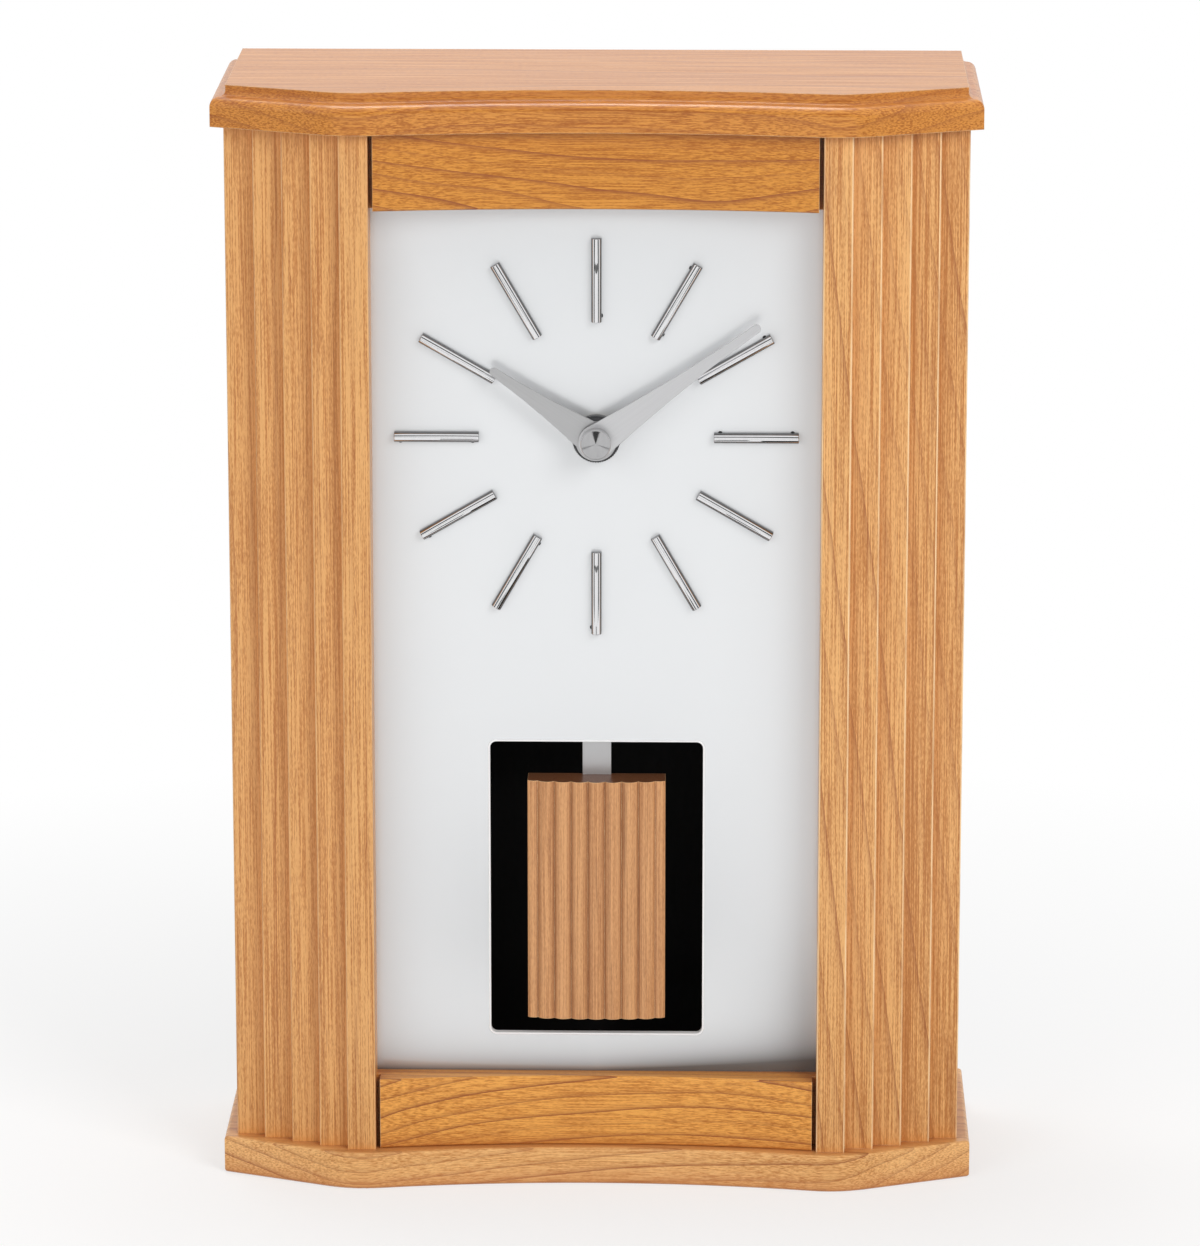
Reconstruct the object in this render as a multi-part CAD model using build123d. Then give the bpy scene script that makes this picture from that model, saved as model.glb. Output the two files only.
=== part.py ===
from build123d import *
import os
from math import acos, cos, hypot, pi, radians, sin, sqrt, tan

# A desk clock with a pendulum: +Z up, front towards -Y, origin under the middle of the base board.

# Overall size
clock_width = 198.0
clock_depth = 76.0
clock_height = 292.0

# Base and top boards, cut to one serpentine plan
base_thickness = 10.0
top_thickness = 10.5
cant_angle = 22.5
knee_spacing = 123.0
knee_radius = 25.0
front_hollow = 5.7
base_edge_radius = 1.0
moulding_face = 5.2
moulding_round = 2.4
moulding_cove = 1.5

# Pillars with stepped fronts, and the side panels behind them
pillar_opening = 116.2
pillar_setback = 3.2
pillar_end_margin = 3.3
pillar_rear_setback = 24.0
facet_count = 5
facet_arris = 0.4
side_thickness = 8.0
side_back_margin = 4.0

# Rails between the pillars
bottom_rail_height = 19.0
top_rail_height = 20.2
rail_setback = 0.8
rail_hollow = 4.7
rail_quirk_width = 1.1
rail_quirk_depth = 5.5
rail_edge_radius = 0.5

# Dial plate, its window and its markers
dial_setback = 13.5
dial_thickness = 2.0
dial_lap = 6.0
dial_rebate = 4.0
dial_screw_inset = 13.1
window_width = 56.0
window_height = 80.0
window_margin = 10.3
window_radius = 1.8
hand_centre_drop = 60.5
marker_count = 12
marker_outer_radius = 52.3
marker_length = 21.9
marker_width = 2.7
marker_wall = 0.8

# Hands at rest, and the stack in front of the dial
hour_hand_angle = 304.5
hour_hub_radius = 5.25
hour_root_angle = 40.0
hour_waist_ratio = 0.82
minute_hub_radius = 4.5
minute_root_angle = 7.0
minute_waist_ratio = 0.72
hand_tip_radius = 1.08
hand_thickness = 0.6
hour_hand_length = 33.0
minute_hand_length = 52.0
hand_gap = 0.7
washer_radius = 5.9
washer_thickness = 0.5
nut_radius = 6.2
nut_height = 3.0
nut_chamfer = 0.6
bushing_radius = 4.0
bushing_rise = 0.6
hour_tube_radius = 2.7
arbor_radius = 1.7
cap_radius = 3.9
cap_length = 3.2
cap_dish = 0.9
cap_rim = 0.3
cap_grip = 1.6

# Movement case behind the dial
movement_width = 56.0
movement_above = 28.5
movement_below = 56.0
movement_front_depth = 12.0
movement_rear_depth = 8.0
movement_wall = 1.6
movement_corner_radius = 2.0
post_radius = 2.4
post_inset = 3.6
post_row_spacing = 58.0
post_row_drop = 6.3

# Motion work
cannon_teeth = 12
minute_teeth = 36
pinion_teeth = 10
hour_teeth = 40
gear_centres = 12.0
pressure_angle = 20.0
tooth_backlash = 0.14
dedendum_ratio = 1.1
hour_addendum_ratio = 0.6
wheel_addendum_ratio = 0.75
pinion_addendum_ratio = 0.9
wheel_thickness = 1.2
wheel_gap = 0.5
rear_pivot_radius = 1.2
rear_pivot_length = 3.0
front_pivot_radius = 0.8
front_pivot_length = 0.9
set_shaft_radius = 1.5
pivot_boss_wall = 2.0
knob_radius = 5.5
knob_height = 4.0
knob_flutes = 16
knob_flute_radius = 0.5

# Battery, electronics and motor
battery_radius = 7.15
battery_length = 49.5
battery_nub_radius = 2.75
battery_nub_length = 1.0
battery_shoulder = 0.8
battery_rise = 19.5
contact_thickness = 0.5
contact_width = 10.0
contact_bump_radius = 2.5
board_width = 46.0
board_height = 24.0
board_thickness = 1.0
coil_radius = 6.0
coil_height = 5.0
coil_bore_radius = 2.0
motor_width = 9.0
motor_height = 22.0
motor_depth = 8.5
motor_offset = 16.0

# Pendulum
pivot_drop = 28.0
pivot_pin_radius = 1.0
pivot_head_radius = 1.8
pivot_head_height = 0.4
recess_width = 40.0
recess_depth = 5.0
recess_head_room = 6.2
hanger_width = 11.0
hanger_length = 22.0
hanger_thickness = 3.0
hanger_clearance = 0.6
hanger_grip = 9.0
magnet_radius = 3.0
magnet_height = 2.0
magnet_drop = 8.0
rod_width = 7.5
rod_thickness = 1.0
rod_lap = 40.0
bob_width = 36.1
bob_height = 64.8
bob_depth = 9.6
bob_proud = 3.9
bob_floor_gap = 5.0
bob_bow = 1.3
reed_count = 7
reed_width = 4.4
reed_depth = 1.1
edge_reed_depth = 0.5

# Back door, hinges and catch
door_thickness = 4.0
door_gap = 0.3
hinge_height = 20.0
hinge_inset = 36.0
hinge_leaf_width = 7.0
hinge_leaf_thickness = 0.8
knuckle_radius = 1.5
knuckle_gap = 0.3
hinge_seat_gap = 0.1
hinge_pin_radius = 0.75
door_knob_radius = 4.5
door_knob_height = 3.6
door_knob_stem = 1.8
door_knob_neck = 2.5
door_knob_neck_height = 1.3
door_knob_swell_height = 2.2
door_knob_crown = 3.6
door_knob_inset = 12.0
catch_width = 8.0
catch_depth = 7.0
catch_height = 18.0
catch_gap = 0.1
strike_thickness = 0.8

# Screws
base_screw_radius = 2.0
base_screw_head = 4.0
base_screw_length = 32.0
base_screw_side_y = 20.0
case_screw_radius = 1.0
case_screw_head = 2.0
case_screw_head_height = 1.0
case_screw_length = 6.0
movement_screw_length = 13.0
hinge_screw_radius = 0.9
hinge_screw_head = 1.7
hinge_screw_head_height = 0.7
hinge_screw_length = 6.0
hinge_screw_spacing = 12.0
bob_screw_length = 4.6
bob_screw_spacing = 20.0
screw_point = 1.5
screw_crown_ratio = 0.7

# Fits
press_clearance = 0.02
screw_clearance = 0.05
running_clearance = 0.08
assembly_clearance = 0.3

# Places that follow from the sizes above
front_y = -clock_depth / 2
back_y = clock_depth / 2
pillar_top_z = clock_height - top_thickness
pillar_front_y = front_y + pillar_setback
pillar_back_y = front_y + pillar_rear_setback
pillar_inner_x = pillar_opening / 2
pillar_outer_x = clock_width / 2 - pillar_end_margin
facet_width = (pillar_outer_x - pillar_inner_x) / facet_count
facet_riser = facet_width * tan(radians(cant_angle))
side_inner_x = pillar_outer_x - side_thickness
side_back_y = back_y - side_back_margin
rail_front_y = pillar_front_y + rail_setback
dial_front_y = front_y + dial_setback
dial_back_y = dial_front_y + dial_thickness
opening_bottom_z = base_thickness + bottom_rail_height
opening_top_z = pillar_top_z - top_rail_height
dial_bottom_z = opening_bottom_z - dial_lap
dial_top_z = opening_top_z + dial_lap
window_bottom_z = opening_bottom_z + window_margin
window_top_z = window_bottom_z + window_height
hand_centre_z = opening_top_z - hand_centre_drop

washer_front_y = dial_front_y - washer_thickness
nut_front_y = washer_front_y - nut_height
bushing_front_y = nut_front_y - bushing_rise
hour_hand_back_y = bushing_front_y - hand_gap
hour_hand_front_y = hour_hand_back_y - hand_thickness
minute_hand_back_y = hour_hand_front_y - hand_gap
minute_hand_front_y = minute_hand_back_y - hand_thickness

movement_split_y = dial_back_y + movement_front_depth
movement_back_y = movement_split_y + movement_rear_depth
front_wall_y = dial_back_y + movement_wall
rear_wall_y = movement_back_y - movement_wall
recess_floor_y = dial_back_y + recess_depth
recess_wall_y = recess_floor_y + movement_wall
movement_top_z = hand_centre_z + movement_above
movement_bottom_z = hand_centre_z - movement_below
battery_z = hand_centre_z + battery_rise
battery_y = movement_back_y - battery_radius - assembly_clearance

hour_wheel_front_y = front_wall_y + assembly_clearance
hour_wheel_back_y = hour_wheel_front_y + wheel_thickness
minute_wheel_front_y = hour_wheel_back_y + wheel_gap
minute_wheel_back_y = minute_wheel_front_y + wheel_thickness
minute_wheel_x = -gear_centres
cannon_module = 2 * gear_centres / (cannon_teeth + minute_teeth)
hour_module = 2 * gear_centres / (pinion_teeth + hour_teeth)

pivot_z = hand_centre_z - pivot_drop
recess_top_z = pivot_z + recess_head_room
bob_bottom_z = window_bottom_z + bob_floor_gap
bob_top_z = bob_bottom_z + bob_height
bob_crown_y = dial_front_y - bob_proud
bob_back_y = bob_crown_y + bob_depth
rod_back_y = bob_back_y - screw_clearance
rod_front_y = rod_back_y - rod_thickness
rod_bottom_z = bob_top_z - rod_lap
hanger_back_y = recess_floor_y - hanger_clearance
hanger_front_y = hanger_back_y - hanger_thickness
hanger_bottom_z = pivot_z - hanger_length
rod_top_z = hanger_bottom_z + hanger_grip
magnet_z = pivot_z - magnet_drop
coil_back_y = recess_wall_y + coil_height

door_back_y = side_back_y
door_front_y = door_back_y - door_thickness
door_edge_x = side_inner_x - door_gap
door_bottom_z = base_thickness + door_gap
door_top_z = pillar_top_z - door_gap
hinge_x = -(side_inner_x - door_gap / 2)
hinge_y = side_back_y + knuckle_radius + hinge_seat_gap
knuckle_height = (hinge_height - 2 * knuckle_gap) / 3
hinge_centres_z = (base_thickness + hinge_inset, pillar_top_z - hinge_inset)
catch_z = (base_thickness + pillar_top_z) / 2


def block(x_from, x_to, y_from, y_to, z_from, z_to):
    """Box between six limits."""
    size = (x_to - x_from, y_to - y_from, z_to - z_from)
    middle = ((x_from + x_to) / 2, (y_from + y_to) / 2, (z_from + z_to) / 2)
    return Pos(*middle) * Box(*size)


def facing(sketch, y_from, y_to):
    """Solid of a sketch drawn in front view, between two depths."""
    plane = Plane(origin=(0, y_to, 0), x_dir=(1, 0, 0), z_dir=(0, -1, 0))
    return extrude(plane * sketch, amount=y_to - y_from)


def disc(x, z, radius, y_from, y_to):
    """Round bar along Y."""
    return facing(Pos(x, z) * Circle(radius), y_from, y_to)


def clock_point(radius, angle):
    """Front-view point at an angle clockwise from twelve."""
    return radius * sin(angle), radius * cos(angle)


def turned(points, x, y, z):
    """Solid turned about an axis along Y, from (radius, depth behind y) points."""
    outline = Polyline(*[(radius, depth) for radius, depth in points], close=True)
    turning = revolve(make_face(outline), axis=Axis.Y)
    return Pos(x, y, z) * turning


def pan_screw(x, y, z, radius, head, head_height, length):
    """Screw along Y, its head seated on the plane y and its point towards the front."""
    points = [
        (0, head_height),
        (head * screw_crown_ratio, head_height),
        (head, head_height / 2),
        (head, 0),
        (radius, 0),
        (radius, screw_point - length),
        (0, -length),
    ]
    return turned(points, x, y, z)


def screw_hole(x, y, z, radius, length):
    """Clearance hole for a screw seated on the plane y."""
    return disc(x, z, radius + screw_clearance, y - length - screw_clearance, y)


def case_screw(x, y, z, length):
    """One of the small screws that hold the dial, the movement and the bob."""
    return pan_screw(x, y, z, case_screw_radius, case_screw_head, case_screw_head_height, length)


def mirrored(solid):
    """The same piece for the other side of the clock."""
    return mirror(solid, about=Plane.YZ)


def board_corner():
    """Tangent points of the left half of the serpentine front, from the end to the middle."""
    cant = radians(cant_angle)
    half = clock_width / 2
    knee_x = -knee_spacing / 2
    knee_y = front_y + knee_radius
    rise = knee_radius - front_hollow
    hollow_radius = (knee_x**2 + rise**2 - knee_radius**2) / (2 * front_hollow)
    hollow_y = front_y + front_hollow - hollow_radius
    reach = hypot(knee_x, hollow_y - knee_y)
    cant_end = (knee_x - knee_radius * sin(cant), knee_y - knee_radius * cos(cant))
    corner = (-half, cant_end[1] + (cant_end[0] + half) * tan(cant))
    knee = (knee_x, front_y)
    hollow_end = (
        knee_x - knee_radius * knee_x / reach,
        knee_y + knee_radius * (hollow_y - knee_y) / reach,
    )
    return corner, cant_end, knee, hollow_end


def board_front():
    """Edges of both ends and the serpentine front, from the left back corner to the right."""
    corner, cant_end, knee, hollow_end = board_corner()

    def other(point):
        return -point[0], point[1]

    rear = (corner[0], back_y)
    middle = (0, front_y + front_hollow)
    return [
        Line(rear, corner),
        Line(corner, cant_end),
        ThreePointArc(cant_end, knee, hollow_end),
        ThreePointArc(hollow_end, middle, other(hollow_end)),
        ThreePointArc(other(hollow_end), other(knee), other(cant_end)),
        Line(other(cant_end), other(corner)),
        Line(other(corner), other(rear)),
    ]


def board(thickness):
    """Board of the serpentine plan, standing on z = 0."""
    half = clock_width / 2
    outline = board_front() + [Line((half, back_y), (-half, back_y))]
    return extrude(make_face(outline), amount=thickness)


def base_screw_places():
    """Where the base board is screwed to the pillars and the side panels."""
    pillar_x = pillar_inner_x + 2 * facet_width
    pillar_y = (pillar_front_y + pillar_back_y + facet_riser) / 2
    panel_x = pillar_outer_x - side_thickness / 2
    return [
        (side * x, y)
        for side in (-1, 1)
        for x, y in ((pillar_x, pillar_y), (panel_x, base_screw_side_y))
    ]


def base_screw(x, y, spare):
    """Countersunk screw driven up through the base board, or its hole."""
    radius = base_screw_radius + spare
    head = base_screw_head + spare
    sink = head - radius
    top = base_screw_length + spare
    points = [(0, 0), (head, 0), (radius, sink), (radius, top - screw_point), (0, top)]
    turning = revolve(Plane.XZ * make_face(Polyline(*points, close=True)), axis=Axis.Z)
    return Pos(x, y, 0) * turning


def base_screw_holes():
    """All the holes for the base screws."""
    return [base_screw(x, y, screw_clearance) for x, y in base_screw_places()]


def base_board():
    """Plain board with softened edges on its front and ends."""
    plain = board(base_thickness)
    rims = plain.edges().filter_by(GeomType.LINE, reverse=True)
    rims += plain.edges().filter_by(GeomType.LINE).filter_by(
        lambda edge: edge.length > base_thickness and edge.center().Y < back_y - base_edge_radius
    )
    softened = fillet(rims, base_edge_radius)
    return softened - base_screw_holes()


def top_board():
    """Board with an ogee worked round its front and both ends."""
    start = board_front()[0] @ 0
    overhang = moulding_face
    shoulder = moulding_face + moulding_round
    inset = moulding_round + moulding_cove
    cove_top = shoulder + moulding_cove
    above = top_thickness + overhang
    bend = sqrt(0.5)
    round_mid = (moulding_round * (1 - bend), moulding_face + moulding_round * bend)
    cove_mid = (moulding_round + moulding_cove * bend, cove_top - moulding_cove * bend)
    section = make_face(
        [
            ThreePointArc((0, moulding_face), round_mid, (moulding_round, shoulder)),
            ThreePointArc((moulding_round, shoulder), cove_mid, (inset, cove_top)),
            Polyline(
                (inset, cove_top),
                (inset, above),
                (-overhang, above),
                (-overhang, moulding_face),
                (0, moulding_face),
            ),
        ]
    )
    plane = Plane(origin=(start.X, start.Y, 0), x_dir=(1, 0, 0), z_dir=(0, -1, 0))
    path = Wire(board_front())
    waste = sweep(plane * section, path=path, transition=Transition.RIGHT)
    return Pos(0, 0, pillar_top_z) * (board(top_thickness) - waste)


def right_pillar():
    """Pillar whose front climbs to the middle in flat steps, rebated for the dial plate."""
    rebate_x = pillar_inner_x + dial_rebate + assembly_clearance
    points = [(pillar_inner_x, pillar_front_y)]
    arrises = [points[0]]
    for step in range(facet_count):
        outer_x = pillar_inner_x + (step + 1) * facet_width
        face_y = pillar_front_y + step * facet_riser
        points.append((outer_x, face_y))
        arrises.append(points[-1])
        points.append((outer_x, face_y + facet_riser))
    points[-1] = (pillar_outer_x, pillar_back_y)
    points += [
        (rebate_x, pillar_back_y),
        (rebate_x, dial_front_y),
        (pillar_inner_x, dial_front_y),
    ]
    outline = make_face(Polyline(*points, close=True))
    sharp = [
        corner
        for corner in outline.vertices()
        if any(hypot(corner.X - x, corner.Y - y) < facet_arris / 2 for x, y in arrises)
    ]
    section = fillet(sharp, facet_arris)
    pillar = extrude(Pos(0, 0, base_thickness) * section, amount=pillar_top_z - base_thickness)
    return pillar - base_screw_holes()


def right_side_panel():
    """Plain panel behind the pillar, flush with its outer face."""
    panel = block(
        side_inner_x, pillar_outer_x, pillar_back_y, side_back_y, base_thickness, pillar_top_z
    )
    return panel - base_screw_holes()


def rail(z_from, z_to):
    """Rail with a hollow front and a quirk cut down each end."""
    half = pillar_inner_x
    middle_y = rail_front_y + rail_hollow
    outline = make_face(
        [
            ThreePointArc((-half, rail_front_y), (0, middle_y), (half, rail_front_y)),
            Polyline(
                (half, rail_front_y), (half, dial_front_y), (-half, dial_front_y), (-half, rail_front_y)
            ),
        ]
    )
    solid = extrude(Pos(0, 0, z_from) * outline, amount=z_to - z_from)
    solid = fillet(solid.edges().filter_by(GeomType.CIRCLE), rail_edge_radius)
    quirk = block(
        half - rail_quirk_width,
        half,
        rail_front_y,
        rail_front_y + rail_quirk_depth,
        z_from,
        z_to,
    )
    solid = solid - quirk - mirrored(quirk)
    return solid - dial_screw_holes()


def dial_screw_places():
    """Screws through the lapped edges of the dial plate into the rails."""
    return [
        (side * (pillar_inner_x - dial_screw_inset), z)
        for side in (-1, 1)
        for z in (dial_bottom_z + dial_lap / 2, dial_top_z - dial_lap / 2)
    ]


def dial_screw_holes():
    """All the holes for the dial screws."""
    return [
        screw_hole(x, dial_back_y, z, case_screw_radius, case_screw_length)
        for x, z in dial_screw_places()
    ]


def dial_plate():
    """Flat plate lapped behind the rails and pillars, with the pendulum window."""
    half = pillar_inner_x + dial_rebate
    plate = block(-half, half, dial_front_y, dial_back_y, dial_bottom_z, dial_top_z)
    window_z = (window_bottom_z + window_top_z) / 2
    window = RectangleRounded(window_width, window_height, window_radius)
    plate -= facing(Pos(0, window_z) * window, dial_front_y, dial_back_y)
    plate -= disc(0, hand_centre_z, bushing_radius + running_clearance, dial_front_y, dial_back_y)
    return plate - dial_screw_holes()


def hour_markers():
    """Half-round bars set like rays about the hands."""
    half = marker_width / 2
    crown = (0, marker_wall + half)
    section = make_face(
        [
            Polyline((-half, marker_wall), (-half, 0), (half, 0), (half, marker_wall)),
            ThreePointArc((half, marker_wall), crown, (-half, marker_wall)),
        ]
    )
    inner_radius = marker_outer_radius - marker_length
    plane = Plane(origin=(0, dial_front_y, inner_radius), x_dir=(-1, 0, 0), z_dir=(0, 0, 1))
    bar = extrude(plane * section, amount=marker_length)
    turn = 360 / marker_count
    return [Pos(0, 0, hand_centre_z) * Rot(0, index * turn, 0) * bar for index in range(marker_count)]


def gear(teeth, module, addendum, gap_angle):
    """Front view of an involute gear with a tooth space centred on gap_angle, in radians."""
    angle = radians(pressure_angle)
    pitch_radius = module * teeth / 2
    base_radius = pitch_radius * cos(angle)
    root_radius = pitch_radius - dedendum_ratio * module
    tip_radius = pitch_radius + addendum * module
    pitch_half = pi / (2 * teeth) - tooth_backlash / (2 * pitch_radius)

    def half_tooth(radius):
        turn = acos(min(1, base_radius / radius))
        return pitch_half + tan(angle) - angle - tan(turn) + turn

    radii = [root_radius, max(root_radius, base_radius), pitch_radius, tip_radius]
    if base_radius <= root_radius:
        radii.pop(0)
    points = []
    for index in range(teeth):
        centre = gap_angle + (2 * index + 1) * pi / teeth
        points += [clock_point(radius, centre - half_tooth(radius)) for radius in radii]
        points += [clock_point(radius, centre + half_tooth(radius)) for radius in reversed(radii)]
    return make_face(Polyline(*points, close=True))


def hour_wheel():
    """Hour wheel with the tube that carries the hour hand."""
    towards_pinion = -pi / 2
    sketch = gear(hour_teeth, hour_module, hour_addendum_ratio, towards_pinion)
    wheel = facing(Pos(0, hand_centre_z) * sketch, hour_wheel_front_y, hour_wheel_back_y)
    wheel += disc(0, hand_centre_z, hour_tube_radius, hour_hand_front_y, hour_wheel_front_y)
    bore = arbor_radius + running_clearance
    return wheel - disc(0, hand_centre_z, bore, hour_hand_front_y, hour_wheel_back_y)


def minute_arbor():
    """Arbor of the minute hand with its cannon pinion and rear pivot."""
    towards_wheel = -pi / 2 + pi / cannon_teeth
    sketch = gear(cannon_teeth, cannon_module, pinion_addendum_ratio, towards_wheel)
    arbor = facing(Pos(0, hand_centre_z) * sketch, minute_wheel_front_y, minute_wheel_back_y)
    tip_y = minute_hand_front_y - cap_grip
    pivot_end_y = rear_wall_y - movement_wall
    arbor += disc(0, hand_centre_z, arbor_radius, tip_y, minute_wheel_front_y)
    arbor += disc(0, hand_centre_z, rear_pivot_radius, minute_wheel_back_y, pivot_end_y)
    return arbor


def minute_wheel():
    """Motion-work wheel and pinion on the arbor that the set knob turns."""
    sketch = gear(minute_teeth, cannon_module, wheel_addendum_ratio, pi / 2)
    place = Pos(minute_wheel_x, hand_centre_z)
    wheel = facing(place * sketch, minute_wheel_front_y, minute_wheel_back_y)
    leaves = gear(pinion_teeth, hour_module, pinion_addendum_ratio, pi / 2 + pi / pinion_teeth)
    wheel += facing(place * leaves, hour_wheel_front_y, minute_wheel_front_y)
    pivot_y = front_wall_y - front_pivot_length
    wheel += disc(minute_wheel_x, hand_centre_z, front_pivot_radius, pivot_y, hour_wheel_front_y)
    shaft_end_y = movement_back_y + assembly_clearance + knob_height / 2
    wheel += disc(minute_wheel_x, hand_centre_z, set_shaft_radius, minute_wheel_back_y, shaft_end_y)
    return wheel


def set_knob():
    """Fluted knob behind the movement that sets the hands."""
    near_y = movement_back_y + assembly_clearance
    sketch = Pos(minute_wheel_x, hand_centre_z) * Circle(knob_radius)
    for index in range(knob_flutes):
        x, z = clock_point(knob_radius, 2 * pi * index / knob_flutes)
        sketch -= Pos(minute_wheel_x + x, hand_centre_z + z) * Circle(knob_flute_radius)
    knob = facing(sketch, near_y, near_y + knob_height)
    bore = set_shaft_radius + press_clearance
    return knob - disc(minute_wheel_x, hand_centre_z, bore, near_y, near_y + knob_height / 2)


def hand(length, hub_radius, root_angle, waist_ratio, bore):
    """Outline of a hand whose flanks draw in along hollow curves from its hub to a small round tip."""
    tip_z = length - hand_tip_radius
    root_x = hub_radius * cos(radians(root_angle))
    root_z = hub_radius * sin(radians(root_angle))
    waist_x = waist_ratio * (root_x + hand_tip_radius) / 2
    waist_z = (root_z + tip_z) / 2
    edges = [
        ThreePointArc((root_x, root_z), (waist_x, waist_z), (hand_tip_radius, tip_z)),
        Line((hand_tip_radius, tip_z), (-hand_tip_radius, tip_z)),
        ThreePointArc((-hand_tip_radius, tip_z), (-waist_x, waist_z), (-root_x, root_z)),
        Line((-root_x, root_z), (root_x, root_z)),
    ]
    outline = make_face(edges) + Circle(hub_radius) + Pos(0, tip_z) * Circle(hand_tip_radius)
    return outline - Circle(bore + press_clearance)


def hour_hand():
    """Hand on the hour tube, at its place for the time shown."""
    outline = hand(hour_hand_length, hour_hub_radius, hour_root_angle, hour_waist_ratio, hour_tube_radius)
    flat = facing(outline, hour_hand_front_y, hour_hand_back_y)
    return Pos(0, 0, hand_centre_z) * Rot(0, hour_hand_angle, 0) * flat


def minute_hand():
    """Hand on the minute arbor, at its place for the time shown."""
    angle = hour_teeth * minute_teeth / (pinion_teeth * cannon_teeth) * hour_hand_angle % 360
    outline = hand(minute_hand_length, minute_hub_radius, minute_root_angle, minute_waist_ratio, arbor_radius)
    flat = facing(outline, minute_hand_front_y, minute_hand_back_y)
    return Pos(0, 0, hand_centre_z) * Rot(0, angle, 0) * flat


def hand_cap():
    """Turned cap over the arbor, its face dished to a cone."""
    bore = arbor_radius + press_clearance
    points = [
        (0, -cap_grip - press_clearance),
        (bore, -cap_grip - press_clearance),
        (bore, 0),
        (cap_radius, 0),
        (cap_radius, -cap_length),
        (cap_radius - cap_rim, -cap_length),
        (0, cap_dish - cap_length),
    ]
    return turned(points, 0, minute_hand_front_y, hand_centre_z)


def threaded_bushing():
    """Brass tube fixed in the movement that passes through the dial plate."""
    bore = hour_tube_radius + running_clearance
    tube = disc(0, hand_centre_z, bushing_radius, bushing_front_y, front_wall_y)
    return tube - disc(0, hand_centre_z, bore, bushing_front_y, front_wall_y)


def dial_washer():
    """Thin washer under the nut."""
    ring = disc(0, hand_centre_z, washer_radius, washer_front_y, dial_front_y)
    bore = bushing_radius + running_clearance
    return ring - disc(0, hand_centre_z, bore, washer_front_y, dial_front_y)


def dial_nut():
    """Round nut that clamps the dial plate to the movement."""
    bore = bushing_radius + press_clearance
    points = [
        (bore, 0),
        (nut_radius, 0),
        (nut_radius, nut_chamfer - nut_height),
        (nut_radius - nut_chamfer, -nut_height),
        (bore, -nut_height),
    ]
    return turned(points, 0, washer_front_y, hand_centre_z)


def movement_box(margin, y_from, y_to):
    """Rounded block of the movement's outline, drawn in by a margin."""
    width = movement_width - 2 * margin
    height = movement_top_z - movement_bottom_z - 2 * margin
    middle_z = (movement_top_z + movement_bottom_z) / 2
    radius = movement_corner_radius - margin / 2
    return facing(Pos(0, middle_z) * RectangleRounded(width, height, radius), y_from, y_to)


def post_places():
    """Screw posts in both halves of the movement case."""
    x = movement_width / 2 - post_inset
    low_z = movement_bottom_z + post_row_drop
    return [(side * x, z) for side in (-1, 1) for z in (low_z, low_z + post_row_spacing)]


def movement_screw_holes():
    """All the holes for the movement screws."""
    return [
        screw_hole(x, movement_back_y, z, case_screw_radius, movement_screw_length)
        for x, z in post_places()
    ]


def movement_front_case():
    """Front half of the movement case, with the bay where the pendulum hangs."""
    shell = movement_box(0, dial_back_y, movement_split_y)
    shell -= movement_box(movement_wall, front_wall_y, movement_split_y)
    half = recess_width / 2
    floor_z = movement_bottom_z + movement_wall
    step_z = recess_top_z + movement_wall
    inner = movement_width / 2 - movement_wall
    shell += block(-inner, inner, front_wall_y, recess_wall_y, floor_z, step_z)
    shell -= block(-half, half, dial_back_y, recess_floor_y, movement_bottom_z, recess_top_z)
    for x, z in post_places():
        post_y = front_wall_y if z > step_z else recess_wall_y
        shell += disc(x, z, post_radius, post_y, movement_split_y)
    shell -= movement_screw_holes()
    shell -= disc(0, hand_centre_z, bushing_radius + press_clearance, dial_back_y, front_wall_y)
    pivot_bore = front_pivot_radius + running_clearance
    pivot_y = front_wall_y - front_pivot_length - running_clearance
    shell -= disc(minute_wheel_x, hand_centre_z, pivot_bore, pivot_y, front_wall_y)
    pin_bore = pivot_pin_radius + press_clearance
    return shell - disc(0, pivot_z, pin_bore, recess_floor_y, recess_wall_y)


def movement_rear_cover():
    """Rear half of the movement case, open over the battery."""
    shell = movement_box(0, movement_split_y, movement_back_y)
    shell -= movement_box(movement_wall, movement_split_y, rear_wall_y)
    bay_half_x = movement_width / 2 - movement_wall
    bay_half_z = battery_radius + assembly_clearance
    bay_bottom_z = battery_z - bay_half_z
    bay_top_z = battery_z + bay_half_z
    shell -= block(-bay_half_x, bay_half_x, rear_wall_y, movement_back_y, bay_bottom_z, bay_top_z)
    boss_radius = rear_pivot_radius + pivot_boss_wall
    boss_y = rear_wall_y - rear_pivot_length
    shell += disc(0, hand_centre_z, boss_radius, boss_y, rear_wall_y)
    pivot_end_y = rear_wall_y - movement_wall + running_clearance
    shell -= disc(0, hand_centre_z, rear_pivot_radius + running_clearance, boss_y, pivot_end_y)
    shell += [disc(x, z, post_radius, movement_split_y, rear_wall_y) for x, z in post_places()]
    shell -= movement_screw_holes()
    shaft_bore = set_shaft_radius + running_clearance
    return shell - disc(minute_wheel_x, hand_centre_z, shaft_bore, rear_wall_y, movement_back_y)


def along_x(radius, x_from, x_to, y, z):
    """Round bar along X."""
    plane = Plane(origin=(x_from, y, z), x_dir=(0, 1, 0), z_dir=(1, 0, 0))
    return extrude(plane * Circle(radius), amount=x_to - x_from)


def battery():
    """Cylindrical cell lying across the top of the movement."""
    end_x = (battery_length + battery_nub_length) / 2
    can_end_x = end_x - battery_nub_length
    cell = along_x(battery_radius, -end_x, can_end_x, battery_y, battery_z)
    cell = fillet(cell.edges().filter_by(GeomType.CIRCLE), battery_shoulder)
    return cell + along_x(battery_nub_radius, can_end_x, end_x, battery_y, battery_z)


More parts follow.
